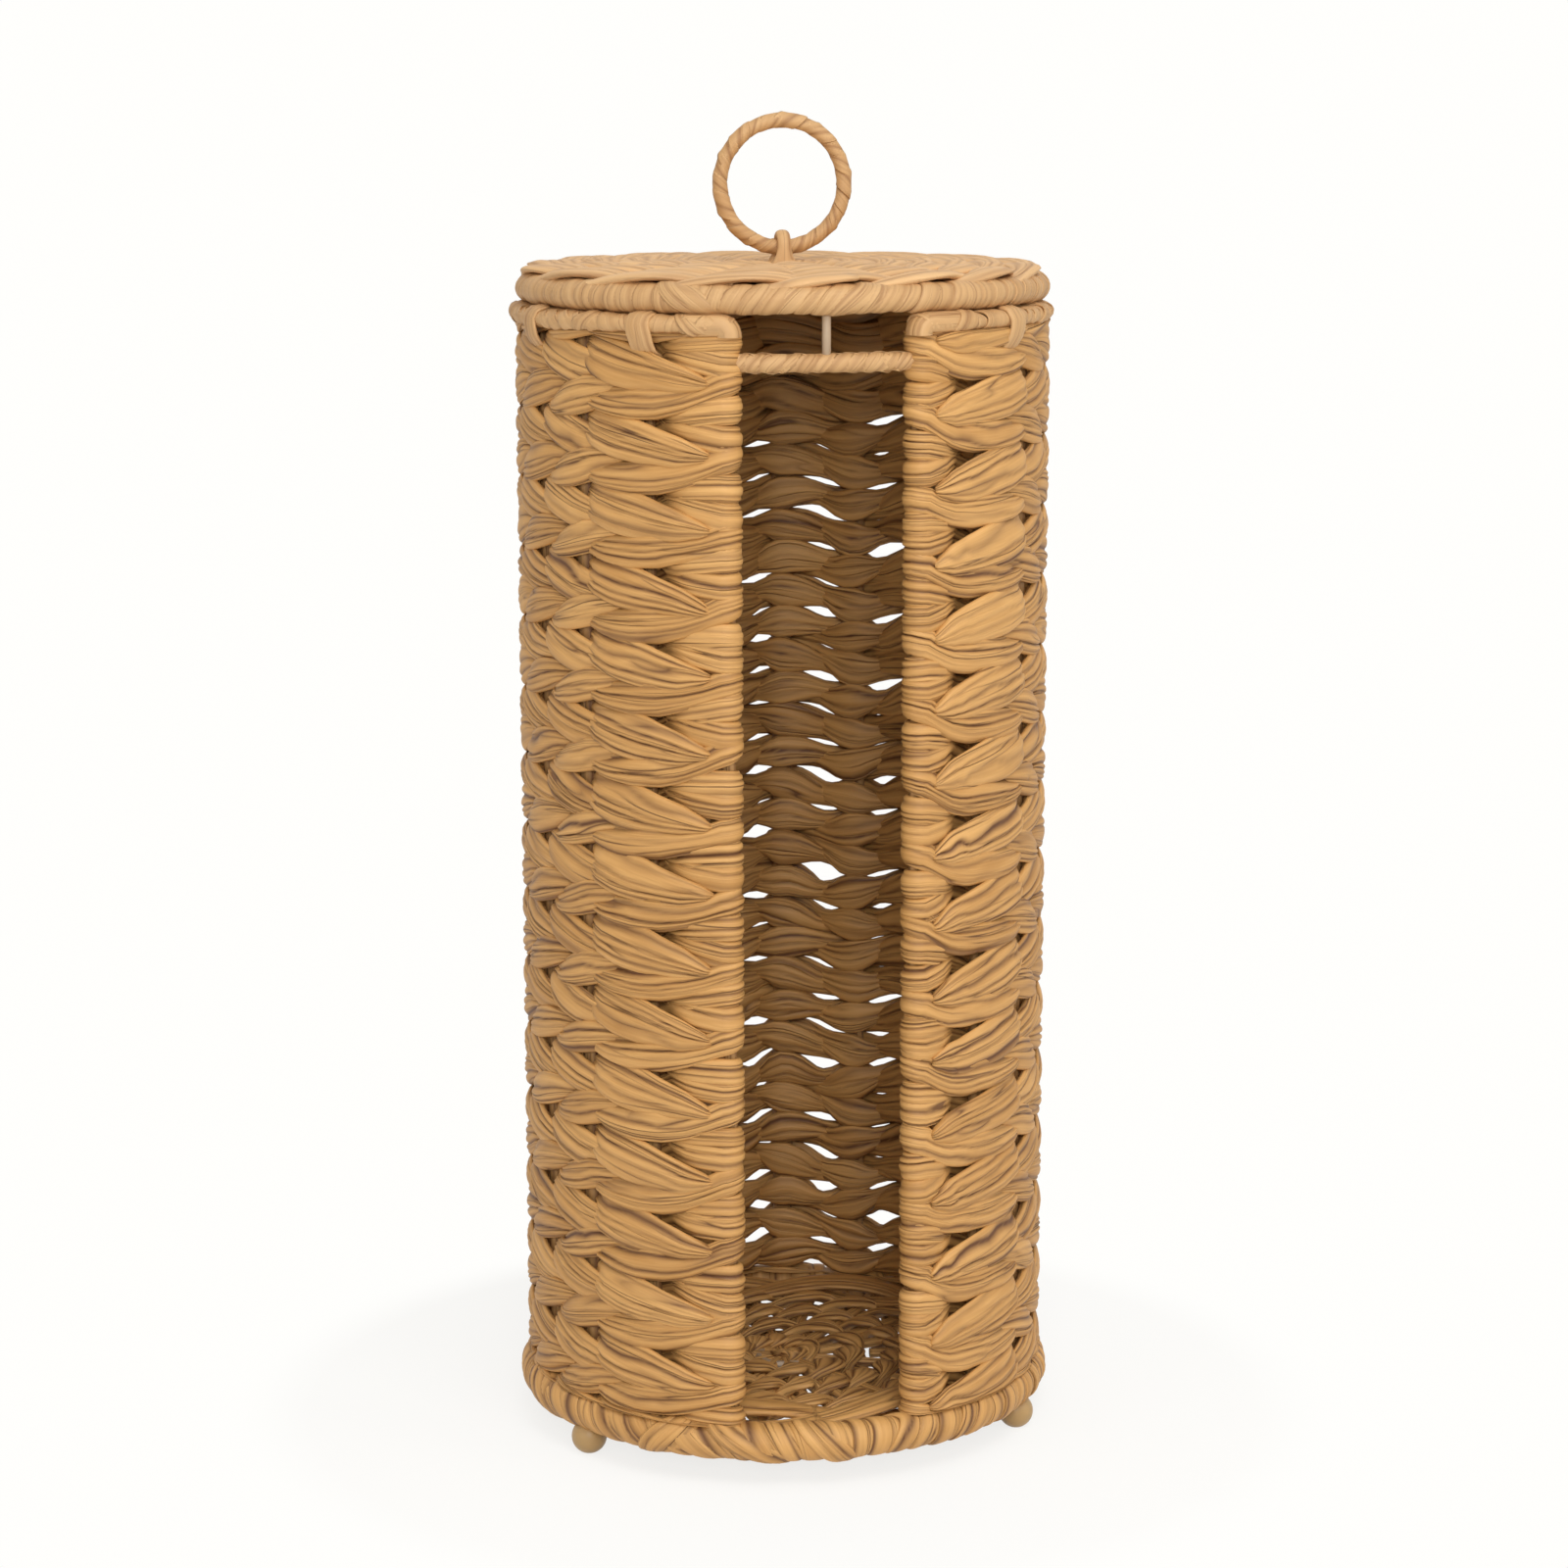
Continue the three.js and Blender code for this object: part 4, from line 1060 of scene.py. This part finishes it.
# The floor's last row: two broad strands twined round eight spokes, sweeping up and over each second one
floorEdge = {
    "seed": 34,
    "spokes": 8,
    "steps": 240,
    "radius": 63.0 * mm,
    "swing": 4.6 * mm,
    "amplitude": 2.8 * mm,
    "lift": 2.2 * mm,
    "width": (7.0 * mm, 13.0 * mm),
    "half": 1.6 * mm,
    "ridges": 4.2,
    "ridgeHeight": 0.75 * mm,
    "start": 0.55,  # spokes
}


def makeFloorEdge(look):
    # height lift + amplitude * cos(cycle), radius less swing * sin(cycle), broadest where a strand is on top
    rng = np.random.default_rng(look["seed"])
    angle = np.linspace(0, fullTurn, look["steps"], endpoint=False)
    cycle = math.pi * (look["spokes"] * angle / fullTurn + look["start"] - np.arange(2)[:, None])
    r = look["radius"] - look["swing"] * np.sin(cycle)
    height = middle("floor_weave")[2] + look["lift"] + look["amplitude"] * np.cos(cycle)
    width = mix(*look["width"], 0.5 + 0.5 * np.cos(cycle))
    ribbons = ribbonMesh(roundAxis(angle, r, height), up, look, rng, width, joined=True)
    ribbonPiece("floor_edge_strands", [ribbons], strand, "basket", "floor_weave", joined=True)


makeDisc("lid_twining", "lid_weave", "lid", lidDisc, litLidStrand, levelRing("lid_rim_wrap")["radius"])
makeDisc("floor_twining", "floor_weave", "basket", floorDisc, strand, boxOf("floor_weave")[1][0])
makeFloorEdge(floorEdge)
print("lid and floor woven")


# Ring handle and its staple

handleRing = {
    "seed": 41,
    "spacing": 5.4 * mm,
    "width": 5.8 * mm,
    "widthVaries": 0.15,
    "half": 0.5 * mm,
    "ridges": (1.0, 2.4),
    "ridgeHeight": 0.16 * mm,
    "lean": 0.13 * mm,
    "bumps": 0.12 * mm,
    "turnSteps": 24,
    "slant": {0: 2.4},
    "slantVaries": 0.6 * mm,
}


def makeHandle(look):
    # The ring stands upright and faces the front. Its angle starts at its lowest point.
    low, high = boxOf("handle_ring_wrap")
    half = (high[1] - low[1]) / 2
    ring = {"centre": (low + high) / 2, "radius": (high[0] - low[0]) / 2 - half, "halfWidth": half,
            "halfHeight": half, "start": np.array([0.0, 0, -1]), "quarter": np.array([-1.0, 0, 0]),
            "up": np.array([0.0, -1, 0]), "front": math.pi / 2}
    windPiece("handle", "handle_ring_wrap", ring, 0, fullTurn, look, litSmoothStrand, "handle_ring")


makeHandle(handleRing)

staple = {
    "seed": 42,
    "half": 1.3 * mm,
    "legHalfGap": 4.0 * mm,
    "footReach": 9.6 * mm,
    "width": 4.1 * mm,
    "flare": 2.7,  # widths at its feet
    "bend": 2.6 * mm,
    "footSteps": 5,
    "cornerSteps": 8,
    "legSteps": 3,
    "legFrom": 0.25,  # of a leg's straight length, its first step above the corner
    "archSteps": 15,
    "ridges": 1.0,
    "ridgeHeight": 0.0,
}


def makeStaple(look):
    # Path in the YZ plane: in along the lid, round a corner, up one leg, half a circle over the ring and the
    # same down again
    rng = np.random.default_rng(look["seed"])
    low, high = boxOf("handle_staple")
    gap = look["legHalfGap"]
    top = high[2] - look["half"] - gap  # middle of the arch
    foot = low[2] + look["half"]
    bend = look["bend"]
    arch = np.linspace(math.pi / 2, -math.pi / 2, look["archSteps"])[1:-1]
    corner = np.linspace(0, math.pi / 2, look["cornerSteps"])[1:]
    reach = np.linspace(look["footReach"], gap + bend, look["footSteps"])
    leg = mix(foot + bend, top, np.linspace(look["legFrom"], 1, look["legSteps"]))
    y = np.concatenate([reach, gap + bend - bend * np.sin(corner), np.full(len(leg), gap),
                        gap * np.sin(arch)])
    z = np.concatenate([np.full(len(reach), foot), foot + bend - bend * np.cos(corner), leg,
                        top + gap * np.cos(arch)])
    firstLeg = len(y) - len(arch)
    y = np.concatenate([y, -y[:firstLeg][::-1]])
    z = np.concatenate([z, z[:firstLeg][::-1]])
    centre = np.stack([np.zeros(len(y)), y, z], -1)[None]
    ahead = tangents(centre, False)
    out = np.stack([np.zeros(len(y)), -ahead[0, :, 2], ahead[0, :, 1]], -1)[None]
    out = out * np.sign(out[0, len(y) // 2, 2])
    width = look["width"] * mix(1, look["flare"], blendStep((top - z) / (top - foot)))
    ribbons = ribbonMesh(centre, out, look, rng, width)
    ribbonPiece("staple_strand", [ribbons], litSmoothStrand, "lid", "handle_staple")


makeStaple(staple)
print("handle made")


# Feet and the bare post


poleRadius = 0.02 * mm


def revolved(name, profile, node, body, material, around):
    # Surface of revolution about the node's own upright axis, closed across both ends of profile, which is
    # a list of (radius, height). The pole rings are tiny instead of single points, and are zipped shut.
    place = middle(node)
    radius, height = np.array([(poleRadius, profile[0][1])] + profile + [(poleRadius, profile[-1][1])]).T
    angle = np.linspace(0, fullTurn, around, endpoint=False)
    points = np.stack([place[0] + radius[:, None] * np.cos(angle), place[1] + radius[:, None] * np.sin(angle),
                       np.broadcast_to(height[:, None], (len(radius), around))], -1)
    quads = tubeQuads(1, len(radius), around, False)[:, ::-1]
    dress(newPiece(name, points, quads, material), body, node)


foot = {
    "flatDepth": 0.5 * mm,
    "radius": 5.4 * mm,
    "steps": 24,
    "around": 48,
    "neck": 0.22,  # of half a turn, left off below the top where the stem begins
    "stem": 0.9,  # of the ball's radius there
}


def makeFeet(look):
    # A ball with a small flat to stand on, and a short stem up to the base rim
    for node in [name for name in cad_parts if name.startswith("foot_")]:
        low, high = boxOf(node)
        centre = low[2] + look["radius"] - look["flatDepth"]
        polar = np.linspace(math.acos(1 - look["flatDepth"] / look["radius"]), math.pi * (1 - look["neck"]),
                            look["steps"])
        ball = [(look["radius"] * math.sin(a), centre - look["radius"] * math.cos(a)) for a in polar]
        profile = ball + [(ball[-1][0] * look["stem"], high[2])]
        revolved(node + "_ball", profile, node, "basket", footPaint, look["around"])


makeFeet(foot)


supportPost = {
    "chamfer": 0.3 * mm,
    "around": 24,
}


def makePost(look):
    # A bare round rod with chamfered ends
    low, high = boxOf("lid_support_post")
    radius = (high[0] - low[0]) / 2
    narrow = radius - look["chamfer"]
    profile = [(narrow, low[2]), (radius, low[2] + look["chamfer"]), (radius, high[2] - look["chamfer"]),
               (narrow, high[2])]
    revolved("support_post", profile, "lid_support_post", "basket", wirePaint, look["around"])


makePost(supportPost)

# Wires that are shown as their CAD solids
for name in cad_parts:
    shown = bpy.data.objects.get(name)
    if shown and shown.type == "MESH":
        for slot in shown.material_slots:
            slot.material = wirePaint
print("feet, post and wires finished")


# Camera, lamps, floor

view = {
    "place": (-0.1928, -1.1450, 0.4139),
    "pitchDown": 10.5,  # degrees
    "yaw": -0.03,
    "roll": 0.07,
    "focalPixels": 3888.75,  # focal length in pixels of a picture photoWidth wide
    "photoWidth": 1600,
    "sensor": 36,  # millimetres
}


def makeCamera(look):
    # It faces the basket's axis, turned aside by yaw, down by pitchDown and about its own sight by roll
    data = bpy.data.cameras.new("camera")
    data.sensor_width = look["sensor"]
    data.lens = look["focalPixels"] / look["photoWidth"] * look["sensor"]
    camera = addObject("camera", data)
    camera.location = look["place"]
    x, y, _ = look["place"]
    heading = math.atan2(x, -y)
    camera.rotation_mode = "XYZ"
    camera.rotation_euler = (math.radians(90 - look["pitchDown"]), math.radians(look["roll"]),
                             heading + math.radians(look["yaw"]))
    bpy.context.scene.camera = camera


stage = {
    "floorHalf": 4.0,  # metres
    "floorColour": (0.9, 0.9, 0.89, 1),
    "floorRoughness": 0.9,
    "white": (1.0, 0.995, 0.975, 1),
    "fadeLeast": 0.8,  # share of plain white that the floor shows under the part
    "fadeFrom": 0.07,  # metres from the axis where the floor begins to fade into the white
    "fadeOver": 0.1,
    "fadeRounding": 0.1,
    "skyLow": 0.05,  # world light from the sides and from below
    "skyHigh": 0.9,  # and from straight above
}


def behindLight(flow):
    # 1 for rays from the camera, and for those that mirror or pass through a surface
    path = flow.tree.nodes.new("ShaderNodeLightPath")
    camera, glossy, through = (Flow(flow.tree, path.outputs[name])
                               for name in ("Is Camera Ray", "Is Glossy Ray", "Is Transmission Ray"))
    return flow.math("MINIMUM", camera + glossy + through, 1.0)


def makeFloor(look):
    # Pale paint that keeps the shadow near the part and fades into the white background
    mesh = bpy.data.meshes.new("floor")
    half = look["floorHalf"]
    corners = [(-half, -half, 0), (half, -half, 0), (half, half, 0), (-half, half, 0)]
    mesh.from_pydata(corners, [], [(0, 1, 2, 3)])
    floor = addObject("floor", mesh)
    material, shader, flow = newMaterial("paleFloor", look["floorRoughness"])
    shader.inputs["Base Color"].default_value = look["floorColour"]
    place = flow.node("ShaderNodeTexCoord", {}, output=3)
    distance = flow.node("ShaderNodeVectorMath", {"operation": "LENGTH"}, place, output=1)
    outwards = (distance - look["fadeFrom"]) * (1 / look["fadeOver"])
    fade = flow.math("SMOOTH_MIN", outwards, 1.0, look["fadeRounding"])
    fade = flow.math("MAXIMUM", fade, look["fadeLeast"]) * behindLight(flow)
    glow = flow.node("ShaderNodeEmission", {}, look["white"], 1.0)
    mixed = flow.node("ShaderNodeMixShader", {}, fade, Flow(flow.tree, shader.outputs[0]), glow)
    mixed.into(material.node_tree.nodes["Material Output"].inputs["Surface"])
    mesh.materials.append(material)


def makeSky(look):
    # White to the camera. Its light grows with the height of the direction it comes from.
    world = bpy.data.worlds.new("world")
    bpy.context.scene.world = world
    world.use_nodes = True
    background = world.node_tree.nodes["Background"]
    background.inputs["Color"].default_value = look["white"]
    sky = Flow(world.node_tree, None)
    direction = sky.node("ShaderNodeTexCoord", {})
    upwards = sky.node("ShaderNodeSeparateXYZ", {}, direction, output=2)
    light = sky.math("MAXIMUM", upwards, 0.0) * (look["skyHigh"] - look["skyLow"]) + look["skyLow"]
    behind = behindLight(sky)
    (light * (1 - behind) + behind).into(background.inputs["Strength"])


# Places and sizes in metres, power in watts
lampTarget = (0, 0, 0.2)
lamps = {
    "key": {"place": (0.2, -1.1, 1.7), "size": 1.0, "power": 12},
    "fill": {"place": (-0.22, -1.5, 0.7), "size": 0.5, "power": 7.9},
    "left_fill": {"place": (-1.3, -0.9, 0.6), "size": 0.6, "power": 1.6},
    "right_fill": {"place": (1.3, -0.9, 0.7), "size": 0.6, "power": 3.5},
}


def makeLamp(name, look):
    # A round lamp that faces the target
    data = bpy.data.lights.new(name, "AREA")
    data.shape = "DISK"
    data.size = look["size"]
    data.energy = look["power"]
    lamp = addObject(name, data)
    lamp.location = look["place"]
    lamp.rotation_euler = (Vector(lampTarget) - Vector(look["place"])).to_track_quat("-Z", "Y").to_euler()


makeCamera(view)
makeFloor(stage)
makeSky(stage)
for name, look in lamps.items():
    makeLamp(name, look)
bpy.context.scene.view_settings.view_transform = "Standard"
print("stage set")
